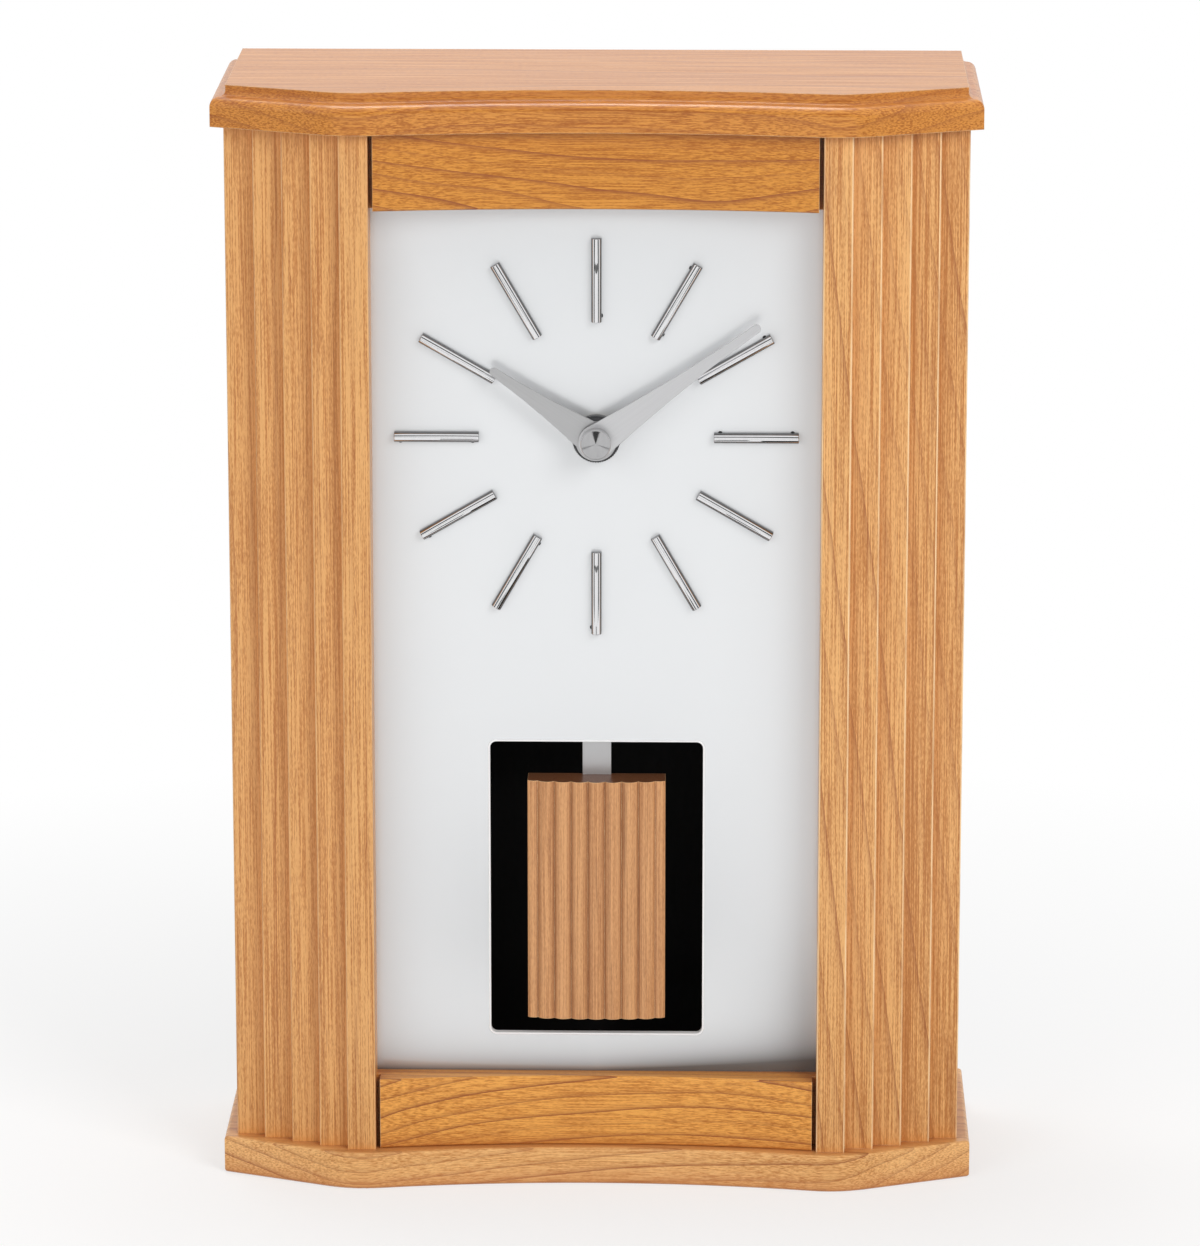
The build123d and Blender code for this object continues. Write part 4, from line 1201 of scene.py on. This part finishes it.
@dataclass
class CaseWork:
    """The wooden case: boards, pillars, rails, side panels and the screws under the base."""

    screw: Screw = Screw(radius=2.0 * MM, head=4.0 * MM, length=32.0 * MM)
    pillar_screw: Span = (73.14 * MM, -22.84 * MM)
    panel_screw: Span = (91.7 * MM, 20.0 * MM)

    def build(self) -> None:
        """Model the base screws."""
        spots = (self.pillar_screw, self.panel_screw)
        places = [Vector((side * x, y, 0.0)) for side in (-1, 1) for x, y in spots]
        screws = self.screw.countersunk("base_screws_recessed", places)
        install(screws, ZINC, "case", "zinc_steel", "base_screws")

    def dress(self) -> None:
        """Give each board its own cut of wood."""
        # painted shade in the corners and coves, and painted highlights along the pillars' edges
        rail = {"grain": Grain.ACROSS, "ring_width": 2.6, "ring_depth": 1.15, "grain_depth": 0.85}
        top = Wood(
            "wood of the top board",
            Grain.ACROSS,
            (250.0, 6.0, 30.0),
            pale=rgb(0.66, 0.270, 0.048),
            dark=rgb(0.39, 0.118, 0.015),
            ring_depth=0.7,
            grain_depth=0.95,
            corner_shade=0.80,
            lacquer=0.34,
        )
        base = Wood(
            "wood of the base board",
            Grain.ACROSS,
            (60.0, 70.0, 210.0),
            pale=rgb(0.88, 0.505, 0.198),
            dark=rgb(0.54, 0.224, 0.060),
            ring_width=3.4,
            ring_depth=1.05,
            ring_lean=0.07,
            grain_depth=0.70,
        )
        upper = Wood(
            "wood of the top rail",
            shift=(255.0, 60.0, 400.0),
            pale=rgb(0.67, 0.282, 0.042),
            dark=rgb(0.40, 0.125, 0.012),
            ring_lean=-0.06,
            **rail,
        )
        lower = Wood(
            "wood of the bottom rail",
            shift=(35.0, 58.0, 90.0),
            pale=rgb(0.85, 0.398, 0.084),
            dark=rgb(0.51, 0.178, 0.025),
            ring_lean=0.06,
            **rail,
        )
        left = Wood(
            "wood of the left pillar",
            shift=(150.0, 60.0, 40.0),
            pale=rgb(0.75, 0.395, 0.142),
            grain_depth=1.2,
            corner_shade=0.42,
            corner_shade_colour=rgb(0.82, 0.345, 0.080),
            edge_wear_and_highlight=0.50,
            arris_highlight=0.35,
            heart_start=84.4,
            heart_depth=-0.12,
        )
        right = Wood(
            "wood of the right pillar",
            shift=(-40.0, 55.0, 310.0),
            pale=rgb(0.80, 0.434, 0.162),
            ring_width=5.5,
            ring_depth=0.75,
            ring_lean=0.14,
            edge=0.55 * MM,
            corner_shade=0.36,
            corner_shade_colour=rgb(0.78, 0.310, 0.065),
            edge_wear_and_highlight=1.0,
            arris_highlight=1.25,
            heart_start=40.7,
            heart_depth=0.26,
        )
        dress(top, "top_board")
        dress(base, "base_board")
        dress(upper, "top_rail")
        dress(lower, "bottom_rail")
        dress(left, "left_pillar")
        dress(right, "right_pillar")
        dress(Wood("wood of the left panel", shift=(170.0, 20.0, 500.0)), "left_side_panel")
        dress(Wood("wood of the right panel", shift=(-30.0, 25.0, 700.0)), "right_side_panel")


class Side(Enum):
    """Which side of a marker bar a stud shows on, seen as the hands turn."""

    CLOCKWISE = 1
    COUNTER = -1


class End(Enum):
    """Which end of a marker bar a stud is near."""

    OUTER = 1
    INNER = -1


@dataclass
class Dial:
    """The satin dial plate with its window and its twelve marker bars."""

    window_width: float = 56.0 * MM
    window_height: float = 80.0 * MM
    window_bottom: float = 39.3 * MM
    window_radius: float = 1.8 * MM
    lip_width: float = 0.35 * MM
    lip_rise: float = 0.12 * MM
    lip_break: float = 0.072 * MM
    liner: float = 0.12 * MM
    bar_width: float = 2.7 * MM
    bar_wall: float = 0.8 * MM
    bar_length: float = 21.9 * MM
    bar_outer: float = 52.3 * MM
    bar_break: float = 0.12 * MM
    bar_count: int = 12
    stud_radius: float = 0.6 * MM
    stud_rise: float = 0.4 * MM
    stud_inset: float = 1.6 * MM
    stud_offset: float = 0.41
    screw: Screw = Screw(radius=1.0 * MM, head=2.0 * MM, length=6.0 * MM)

    studs: ClassVar[dict[int, tuple[tuple[End, Side], ...]]] = {
        1: ((End.OUTER, Side.COUNTER), (End.INNER, Side.CLOCKWISE)),
        2: ((End.OUTER, Side.COUNTER),),
        3: ((End.OUTER, Side.COUNTER), (End.INNER, Side.COUNTER)),
        6: ((End.OUTER, Side.CLOCKWISE),),
        7: ((End.INNER, Side.COUNTER),),
        8: ((End.OUTER, Side.COUNTER),),
        9: ((End.OUTER, Side.COUNTER), (End.INNER, Side.COUNTER)),
        12: ((End.INNER, Side.CLOCKWISE),),
    }

    def __post_init__(self) -> None:
        """Find the dial's face and the middle of the markers in the frame."""
        self.face_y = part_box("dial_plate")[0].y
        self.back_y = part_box("dial_plate")[1].y
        self.centre = middle("hour_markers")

    def build(self) -> None:
        """Model the window's lip, the marker bars, their studs and the plate's screws."""
        install(self.window_lip(), DIAL_EDGE, "case", "dial_satin")
        install(self.marker_bars(), MARKER_CHROME, "case", "bright_chrome", "hour_markers")
        install(self.marker_studs(), STUD_DARK, "case", "bright_chrome")
        self.screw.fit("dial_screws", 2, self.back_y, "case")

    def dress(self) -> None:
        """Give the plate its satin face."""
        dress(DIAL_FACE, "dial_plate")

    def window_lip(self) -> Object:
        """Model the thin raised edge round the window, with the liner that covers the cut plate.

        Returns:
            The lip.
        """
        middle_z = self.window_bottom + self.window_height / 2
        Bench.clear()
        bpy.ops.mesh.primitive_plane_add(
            size=1.0, location=(0, self.face_y, middle_z), rotation=(math.pi / 2, 0, 0)
        )
        lip = bpy.context.object
        both_sides = 2 * self.lip_width
        lip.scale = (self.window_width + both_sides, self.window_height + both_sides, 1.0)
        Bench.apply()
        Bench.edit(lip)
        corner = self.window_radius + self.lip_width
        bpy.ops.mesh.bevel(affect="VERTICES", offset_type="OFFSET", offset=corner, segments=8)
        bpy.ops.mesh.select_all(action="SELECT")
        bpy.ops.mesh.inset(thickness=self.lip_width, use_even_offset=True)
        bpy.ops.mesh.inset(thickness=self.liner, use_even_offset=True)
        bpy.ops.mesh.delete(type="FACE")
        bpy.ops.mesh.select_all(action="SELECT")
        Bench.pull(FORWARD * self.lip_rise)

        def inside(point: Vector, _: Vector) -> bool:
            """Return whether a face lies level with the dial, inside the window."""
            level = abs(point.x) < self.window_width / 2 and abs(point.y - self.face_y) < NEAR
            return level and abs(point.z - middle_z) < self.window_height / 2

        Bench.pick(lip, Part.FACE, inside)
        Bench.pull(BACKWARD * (self.back_y - self.face_y))
        front = self.face_y - self.lip_rise
        Bench.pick(
            lip, Part.EDGE, lambda one, two: max(abs(one.y - front), abs(two.y - front)) < NEAR
        )
        bpy.ops.mesh.region_to_loop()
        bpy.ops.mesh.bevel(offset=self.lip_break, segments=3, affect="EDGES")
        return Bench.settle(lip, "window_lip")

    def marker_bars(self) -> Object:
        """Model one half-round bar at twelve o'clock and copy it round the dial.

        Returns:
            All the bars as one piece.
        """
        crown_y = self.face_y - self.bar_wall
        middle_z = self.centre.z + self.bar_outer - self.bar_length / 2
        Bench.clear()
        bpy.ops.mesh.primitive_cylinder_add(
            vertices=64,
            radius=self.bar_width / 2,
            depth=self.bar_length,
            location=(0, crown_y, middle_z),
        )
        Bench.apply()
        bar = bpy.context.object
        Bench.edit(bar)
        bpy.ops.mesh.bisect(
            plane_co=(0, crown_y, 0), plane_no=BACKWARD, clear_outer=True, use_fill=True
        )
        Bench.pick(bar, Part.FACE, lambda _, normal: normal.y > 0.9)
        Bench.pull(BACKWARD * self.bar_wall)
        ends = (middle_z - self.bar_length / 2, middle_z + self.bar_length / 2)
        Bench.pick(
            bar,
            Part.EDGE,
            lambda one, two: any(max(abs(one.z - z), abs(two.z - z)) < NEAR for z in ends)
            and min(one.y, two.y) < self.face_y - NEAR,
        )
        bpy.ops.mesh.bevel(offset=self.bar_break, segments=3, affect="EDGES")
        bars = [Bench.settle(bar, "marker_bars")]
        for index in range(1, self.bar_count):
            Bench.take(bar)
            bpy.ops.object.duplicate()
            angle = 2 * math.pi * index / self.bar_count
            bpy.ops.transform.rotate(value=angle, orient_axis="Y", center_override=self.centre)
            Bench.apply()
            bars.append(bpy.context.object)
        return Bench.join(bars)

    def marker_studs(self) -> Object:
        """Model one of the studs that fix the bars and copy it to where they show.

        Returns:
            All the studs as one piece.
        """
        reaches = {
            End.OUTER: self.bar_outer - self.stud_inset,
            End.INNER: self.bar_outer - self.bar_length + self.stud_inset,
        }
        places = []
        for hour, shown in self.studs.items():
            angle = 2 * math.pi * hour / self.bar_count
            outward = Vector((math.sin(angle), 0, math.cos(angle)))
            onward = Vector((math.cos(angle), 0, -math.sin(angle)))
            for end, side in shown:
                aside = onward * side.value * self.bar_width * self.stud_offset
                place = self.centre + outward * reaches[end] + aside
                place.y = self.face_y
                places.append(place)
        profile = [
            (0.0, 0.0),
            (self.stud_radius, 0.0),
            (self.stud_radius, self.stud_rise * 0.6),
            (self.stud_radius * 0.8, self.stud_rise),
            (0.0, self.stud_rise),
        ]
        stud = Bench.turn("marker_studs", profile, places[0], FORWARD, steps=20)
        return Bench.copies(stud, places)


@dataclass
class Hands:
    """The two hands with their cap, and the nut and bushing behind them."""

    hour_angle: float = math.radians(304.5)
    minute_angle: float = math.radians(54.0)
    cap_radius: float = 3.9 * MM
    cap_dish: float = 0.9 * MM
    cap_rim: float = 0.25 * MM
    cap_break: float = 0.1 * MM
    cap_point: float = 0.02
    nut_ridges: int = 60
    ridge_depth: float = 0.12 * MM
    nut_break: float = 0.5 * MM
    bushing_bore: float = 2.78 * MM
    thread_pitch: float = 0.75 * MM
    thread_depth: float = 0.22 * MM

    def build(self) -> None:
        """Model the cap, the knurled nut and the thread."""
        install(self.cap(), TURNED_CHROME, "minute", "bright_chrome", "hand_cap")
        install(self.nut(), BLACK_NICKEL, "case", "black_nickel", "dial_nut")
        install(self.thread(), BRASS, "case", "brass", "threaded_bushing")

    def dress(self) -> None:
        """Brush each hand along its length and finish what carries it."""
        minute = BrushedMetal(
            "satin minute hand",
            rgb(0.66, 0.66, 0.67),
            rgb(0.72, 0.72, 0.73),
            (0.0, -self.minute_angle, 0.0),
        )
        hour = BrushedMetal(
            "satin hour hand",
            rgb(0.50, 0.50, 0.505),
            rgb(0.57, 0.57, 0.575),
            (0.0, -self.hour_angle, 0.0),
        )
        dress(minute, "minute_hand")
        dress(hour, "hour_hand")
        dress(BRASS, "dial_washer")
        dress(ZINC, "minute_arbor")
        dress(WHITE_PLASTIC, "hour_wheel")

    def cap(self) -> Object:
        """Turn the cap with its dished face.

        Returns:
            The cap.
        """
        low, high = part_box("hand_cap")
        length = high.y - low.y
        foot = Vector((0, high.y, middle("hand_cap").z))
        profile = [
            (0.0, 0.0),
            (self.cap_radius - self.cap_rim, 0.0),
            (self.cap_radius, self.cap_rim),
            (self.cap_radius, length - self.cap_break),
            (self.cap_radius - self.cap_break, length),
            (self.cap_radius - self.cap_rim, length),
            (self.cap_radius * self.cap_point, length - self.cap_dish * (1 - self.cap_point)),
            (0.0, length - self.cap_dish),
        ]
        return Bench.turn("hand_cap_turned", profile, foot, FORWARD, steps=96, smooth_angle=8.0)

    def nut(self) -> Object:
        """Model the round nut, knurled on its rim and bored for the bushing.

        Returns:
            The nut.
        """
        low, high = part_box("dial_nut")
        centre = (low + high) / 2
        depth = high.y - low.y
        facing = (math.pi / 2, 0, 0)
        Bench.clear()
        bpy.ops.mesh.primitive_cylinder_add(
            vertices=2 * self.nut_ridges,
            radius=(high.x - low.x) / 2 - self.ridge_depth,
            depth=depth,
            location=centre,
            rotation=facing,
        )
        Bench.apply()
        nut = bpy.context.object
        Bench.edit(nut)
        Bench.pick(nut, Part.EDGE, lambda one, two: max(one.y, two.y) < low.y + NEAR)
        bpy.ops.mesh.bevel(offset=self.nut_break, segments=2, affect="EDGES")

        def ridge(point: Vector, normal: Vector) -> bool:
            """Return whether a face of the rim is one of those that are raised."""
            turn = math.atan2(point.x - centre.x, point.z - centre.z) / (2 * math.pi) + 0.5
            return abs(normal.y) < 0.1 and int(turn * 2 * self.nut_ridges) % 2 == 0

        Bench.pick(nut, Part.FACE, ridge)
        bpy.ops.mesh.extrude_faces_move(TRANSFORM_OT_shrink_fatten={"value": self.ridge_depth})
        Bench.clear()
        bore = (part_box("threaded_bushing")[1].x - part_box("threaded_bushing")[0].x) / 2
        bpy.ops.mesh.primitive_cylinder_add(
            vertices=48, radius=bore, depth=4 * depth, location=centre, rotation=facing
        )
        Bench.cut(nut, bpy.context.object)
        return Bench.settle(nut, "dial_nut_knurled")

    def thread(self) -> Object:
        """Turn the bushing with the crests of its thread.

        Returns:
            The bushing.
        """
        low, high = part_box("threaded_bushing")
        length = high.y - low.y
        crest = (high.x - low.x) / 2
        root = crest - self.thread_depth
        foot = Vector((0, high.y, middle("threaded_bushing").z))
        profile = [(self.bushing_bore, 0.0), (root, 0.0)]
        for index in range(int(length / self.thread_pitch)):
            start = index * self.thread_pitch
            profile += [(crest, start + self.thread_pitch / 2), (root, start + self.thread_pitch)]
        profile += [(root, length), (self.bushing_bore, length), (self.bushing_bore, 0.0)]
        return Bench.turn("bushing_thread", profile, foot, FORWARD, steps=48)


@dataclass
class Movement:
    """The quartz movement behind the dial, with its battery, electronics and screws."""

    screw: Screw = Screw(radius=1.0 * MM, head=2.0 * MM, length=13.0 * MM)
    shoulder: float = 0.9 * MM
    shoulder_bow: float = 0.27 * MM
    crimp: float = 0.25 * MM
    nub_radius: float = 2.75 * MM
    nub_length: float = 1.0 * MM

    def build(self) -> None:
        """Model the battery and the case screws."""
        install(self.cell(), CellWrap("wrapped cell"), "case", "battery_jacket", "battery")
        self.screw.fit("movement_screws", 2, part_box("movement_rear_cover")[1].y, "case")

    def dress(self) -> None:
        """Finish the mouldings, the wheels and the electronics."""
        dress(BLACK_PLASTIC, "movement_front_case", "movement_rear_cover")
        dress(GREY_PLASTIC, "step_motor", "set_knob")
        dress(WHITE_PLASTIC, "minute_wheel")
        dress(ZINC, "battery_contacts", "pendulum_pivot_pin")
        dress(Laminate("green laminate"), "circuit_board")
        dress(Winding("copper winding"), "drive_coil")

    def cell(self) -> Object:
        """Turn the battery with its crimped shoulders and its nub.

        Returns:
            The battery.
        """
        low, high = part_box("battery")
        radius = (high.z - low.z) / 2
        length = high.x - low.x
        can = length - self.nub_length
        foot = Vector((low.x, (low.y + high.y) / 2, (low.z + high.z) / 2))
        profile = [
            (0.0, 0.0),
            (radius - self.shoulder, 0.0),
            (radius - self.shoulder_bow, self.shoulder_bow),
            (radius, self.shoulder),
            (radius, can - self.shoulder - self.crimp),
            (radius - self.shoulder_bow, can - self.shoulder_bow),
            (radius - self.shoulder, can),
            (radius - self.shoulder - self.crimp, can - self.crimp),
            (self.nub_radius, can - self.crimp),
            (self.nub_radius, length - self.crimp),
            (self.nub_radius - self.crimp, length),
            (0.0, length),
        ]
        return Bench.turn("wrapped_cell", profile, foot, RIGHT)


@dataclass
class Pendulum:
    """The swinging pendulum: hanger, magnet, strip and reeded bob."""

    screw: Screw = Screw(radius=1.0 * MM, head=2.0 * MM, length=4.6 * MM)

    def build(self) -> None:
        """Model the screws that hold the bob."""
        self.screw.fit("bob_screws", 1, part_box("pendulum_rod")[1].y, "pendulum")

    def dress(self) -> None:
        """Finish the bob, the strip and the hanger."""
        # painted shade between the bob's reeds and on its top face, from its corner and end-grain
        # values
        bob = Wood(
            "wood of the bob",
            shift=(70.0, 45.0, 900.0),
            pale=rgb(0.69, 0.355, 0.152),
            dark=rgb(0.42, 0.175, 0.064),
            pore=rgb(0.13, 0.045, 0.022),
            ring_depth=0.2,
            grain_depth=0.62,
            edge=0.3 * MM,
            recess=3.0 * MM,
            corner_shade=0.9,
            corner_shade_colour=rgb(0.24, 0.085, 0.036),
            end_grain_and_shade=0.90,
        )
        dress(bob, "pendulum_bob")
        dress(ROD_SATIN, "pendulum_rod")
        dress(WHITE_PLASTIC, "pendulum_hanger")
        dress(Ferrite("sintered magnet"), "pendulum_magnet")


@dataclass
class BackDoor:
    """The black back door with its knob, its two hinges and its catch."""

    knob_radius: float = 4.5 * MM
    knob_stem: float = 1.8 * MM
    door_thickness: float = 4.0 * MM
    screw: Screw = Screw(radius=0.9 * MM, head=1.7 * MM, length=6.75 * MM, height=0.7 * MM)
    screw_pitch: float = 12.0 * MM

    knob_curve: ClassVar[tuple[Span, ...]] = (
        (0.62, 0.0),
        (0.56, 0.12),
        (0.55, 0.30),
        (0.70, 0.45),
        (0.95, 0.56),
        (1.0, 0.66),
        (0.97, 0.78),
        (0.80, 0.92),
        (0.45, 0.985),
        (0.0, 1.0),
    )

    def build(self) -> None:
        """Model the knob and the hinge screws."""
        install(self.knob(), BRASS, "door", "brass", "door_knob")
        for node, body in (("hinge_case_screws", "case"), ("hinge_door_screws", "door")):
            install(self.hinge_screws(node), BRASS, body, "brass", node)

    def dress(self) -> None:
        """Finish the door, the hinges and the catch."""
        dress(PaintedBoard("black painted board"), "back_door")
        dress(BRASS, "hinge_case_leaves", "hinge_door_leaves", "hinge_pins")
        dress(GREY_PLASTIC, "catch_magnet")
        dress(ZINC, "catch_strike")

    def knob(self) -> Object:
        """Turn the knob with a hollow neck and a domed face.

        Returns:
            The knob.
        """
        low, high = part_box("door_knob")
        seat = self.door_thickness
        rise = high.y - low.y - seat
        foot = Vector((middle("door_knob").x, low.y, middle("door_knob").z))
        profile = [(0.0, 0.0), (self.knob_stem, 0.0), (self.knob_stem, seat)]
        profile += [(self.knob_radius * wide, seat + rise * up) for wide, up in self.knob_curve]
        return Bench.turn("door_knob_turned", profile, foot, BACKWARD)

    def hinge_screws(self, node: str) -> Object:
        """Model the screws of one side's hinge leaves.

        Args:
            node: the CAD node that they stand for.

        Returns:
            The four screws as one piece.
        """
        low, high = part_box(node)
        first, last = low.z + self.screw.head, high.z - self.screw.head
        rows = (first, first + self.screw_pitch, last - self.screw_pitch, last)
        seat_y = high.y - self.screw.height
        seats = [Vector(((low.x + high.x) / 2, seat_y, z)) for z in rows]
        return self.screw.pan_heads(f"{node}_recessed", seats)


@dataclass(frozen=True)
class Softbox:
    """A square soft light that faces the clock, with or without its glare on gloss."""

    name: str
    place: Triple
    size: float
    power: float
    glare: bool = False


@dataclass(frozen=True)
class Card:
    """A black card on the floor that only the bright metal reflects."""

    name: str
    place: Triple
    size: Span


@dataclass
class Studio:
    """The pale floor, the soft lights and the camera at the photograph's viewing angle."""

    azimuth: float = math.radians(1.2)
    elevation: float = math.radians(14.0)
    distance: float = 1.70
    lens: float = 185.8
    sensor_width: float = 36.0
    aim: Triple = (0.0004, 0.0, 0.1451)
    paper: Colour = rgb(0.94, 0.94, 0.94)
    paper_roughness: float = 0.9
    cloth: Colour = rgb(0.01, 0.01, 0.01)
    floor_size: float = 12.0
    floor_glow: float = 0.6
    floor_fade: Span = (0.14, 0.40)
    ring_reach: float = 0.30
    ring_inner: float = math.radians(38.0)
    ring_outer: float = math.radians(58.0)
    sky_strength: float = 0.30

    softboxes: ClassVar[tuple[Softbox, ...]] = (
        Softbox("key softbox", (1.0, -1.3, 1.1), size=0.9, power=17.5),
        Softbox("fill softbox", (-1.2, -1.5, 0.8), size=1.2, power=11.0),
        Softbox("top softbox", (-0.1, 0.25, 1.3), size=0.55, power=6.5, glare=True),
    )
    # painted reflections: these cards darken the dial's foot and right corner, the cap and the
    # bars, standing in for shade in front of the clock
    cards: ClassVar[tuple[Card, ...]] = (
        Card("cap card", (-0.010, -0.265, 0.002), (0.075, 0.13)),
        Card("foot card", (0.0, -0.075, 0.002), (0.30, 0.070)),
        Card("corner card", (0.125, -0.130, 0.002), (0.15, 0.17)),
        Card("far card", (0.0, -2.3, 0.002), (3.0, 1.2)),
    )

    def build(self) -> None:
        """Set up everything that isn't the clock."""
        bpy.context.scene.view_settings.view_transform = "Standard"
        self.floor()
        self.sky()
        for softbox in self.softboxes:
            self.hang(softbox)
        for card in self.cards:
            Bench.clear()
            bpy.ops.mesh.primitive_plane_add(size=1.0, location=card.place)
            bpy.context.object.scale = (*card.size, 1.0)
            self.hide_card(bpy.context.object, card.name)
        self.dark_ring()
        self.camera()

    def looked_at(self, wiring: Wiring) -> NodeSocket:
        """Find the rays that look at the backdrop, straight or by way of metal or glass.

        Args:
            wiring: the nodes of the floor or the sky.

        Returns:
            The socket that is 1 for those rays.
        """
        path = wiring.add("ShaderNodeLightPath").outputs
        seen = wiring.math("MAXIMUM", path["Is Camera Ray"], path["Is Glossy Ray"])
        return wiring.math("MAXIMUM", seen, path["Is Transmission Ray"])

    def floor(self) -> None:
        """Lay the pale floor, which turns into the white backdrop away from the clock."""
        Bench.clear()
        bpy.ops.mesh.primitive_plane_add(size=self.floor_size, location=(0, 0, 0))
        ground = bpy.context.object
        ground.name = "studio_floor"
        paper = bpy.data.materials.new("studio paper")
        paper.use_nodes = True
        wiring = Wiring(paper.node_tree)
        shader = wiring.shader
        shader.inputs["Base Color"].default_value = self.paper
        shader.inputs["Roughness"].default_value = self.paper_roughness
        shader.inputs["Specular IOR Level"].default_value = 0.0
        place = wiring.add("ShaderNodeTexCoord").outputs["Object"]
        reach = wiring.add("ShaderNodeVectorMath", {0: place}, operation="LENGTH").outputs["Value"]
        away = wiring.remap(reach, self.floor_fade, (self.floor_glow, 1.0))
        seen = wiring.math("MULTIPLY", away, self.looked_at(wiring))
        white = wiring.add("ShaderNodeEmission", {"Strength": 1.0})
        inputs = {0: seen, 1: shader.outputs[0], 2: white.outputs[0]}
        blend = wiring.add("ShaderNodeMixShader", inputs)
        wiring.join(paper.node_tree.nodes["Material Output"], Surface=blend.outputs[0])
        ground.data.materials.append(paper)

    def sky(self) -> None:
        """Light the clock softly from all round, with a white backdrop for eye and gloss."""
        world = bpy.data.worlds.new("studio")
        bpy.context.scene.world = world
        world.use_nodes = True
        wiring = Wiring(world.node_tree)
        strength = wiring.remap(self.looked_at(wiring), UNIT, (self.sky_strength, 1.0))
        backdrop = world.node_tree.nodes["Background"]
        wiring.join(backdrop, Strength=strength)
        backdrop.inputs["Color"].default_value = rgb(1.0, 1.0, 1.0)

    def hang(self, softbox: Softbox) -> None:
        """Hang a soft light.

        Args:
            softbox: the light.
        """
        lamp = bpy.data.lights.new(softbox.name, "AREA")
        lamp.size = softbox.size
        lamp.energy = softbox.power
        holder = bpy.data.objects.new(softbox.name, lamp)
        holder.visible_glossy = softbox.glare
        holder.location = softbox.place
        holder.rotation_mode = "QUATERNION"
        way = Vector(self.aim) - Vector(softbox.place)
        holder.rotation_quaternion = way.to_track_quat("-Z", "Y")
        bpy.context.scene.collection.objects.link(holder)

    def dark_ring(self) -> None:
        """Set up a black ring round the way that the dial reflects the camera."""
        # painted reflection: the ring puts dark lines in the marker bars
        mirrored = self.backward()
        mirrored.x, mirrored.z = -mirrored.x, -mirrored.z
        inner, outer = (
            self.ring_reach * math.tan(angle) for angle in (self.ring_inner, self.ring_outer)
        )
        Bench.clear()
        bpy.ops.mesh.primitive_circle_add(vertices=64, radius=outer, fill_type="NGON")
        ring = bpy.context.object
        Bench.edit(ring)
        bpy.ops.mesh.inset(thickness=outer - inner)
        bpy.ops.mesh.delete(type="FACE")
        Bench.clear()
        ring.rotation_mode = "QUATERNION"
        ring.rotation_quaternion = (-mirrored).to_track_quat("Z", "Y")
        ring.location = middle("hour_markers") + mirrored * self.ring_reach
        self.hide_card(ring, "ring card")

    def hide_card(self, card: Object, name: str) -> None:
        """Cover a card with black cloth and hide it from all but reflections.

        Args:
            card: the card.
            name: its name.
        """
        card.name = name
        cloth = bpy.data.materials.get("black cloth") or bpy.data.materials.new("black cloth")
        cloth.use_nodes = True
        shader = cloth.node_tree.nodes["Principled BSDF"]
        shader.inputs["Base Color"].default_value = self.cloth
        card.data.materials.append(cloth)
        for ray in ("camera", "diffuse", "transmission", "volume_scatter", "shadow"):
            setattr(card, f"visible_{ray}", False)

    def backward(self) -> Vector:
        """Return the way from the clock to the camera."""
        turn, level = self.azimuth, math.cos(self.elevation)
        return Vector((math.sin(turn) * level, -math.cos(turn) * level, math.sin(self.elevation)))

    def camera(self) -> None:
        """Set the camera where the photograph was taken from."""
        back = self.backward()
        eye = bpy.data.objects.new("camera", bpy.data.cameras.new("camera"))
        eye.data.lens = self.lens
        eye.data.sensor_width = self.sensor_width
        eye.location = Vector(self.aim) + back * self.distance
        eye.rotation_mode = "QUATERNION"
        eye.rotation_quaternion = (-back).to_track_quat("-Z", "Y")
        bpy.context.scene.collection.objects.link(eye)
        bpy.context.scene.camera = eye


def main() -> None:
    """Build and dress each sub-assembly, then the studio."""
    logging.basicConfig(level=logging.INFO, format="%(name)s: %(message)s")
    for assembly in (CaseWork(), Dial(), Hands(), Movement(), Pendulum(), BackDoor()):
        report.info("building %s", type(assembly).__name__)
        assembly.build()
        assembly.dress()
    Studio().build()


if __name__ == "__main__":
    main()
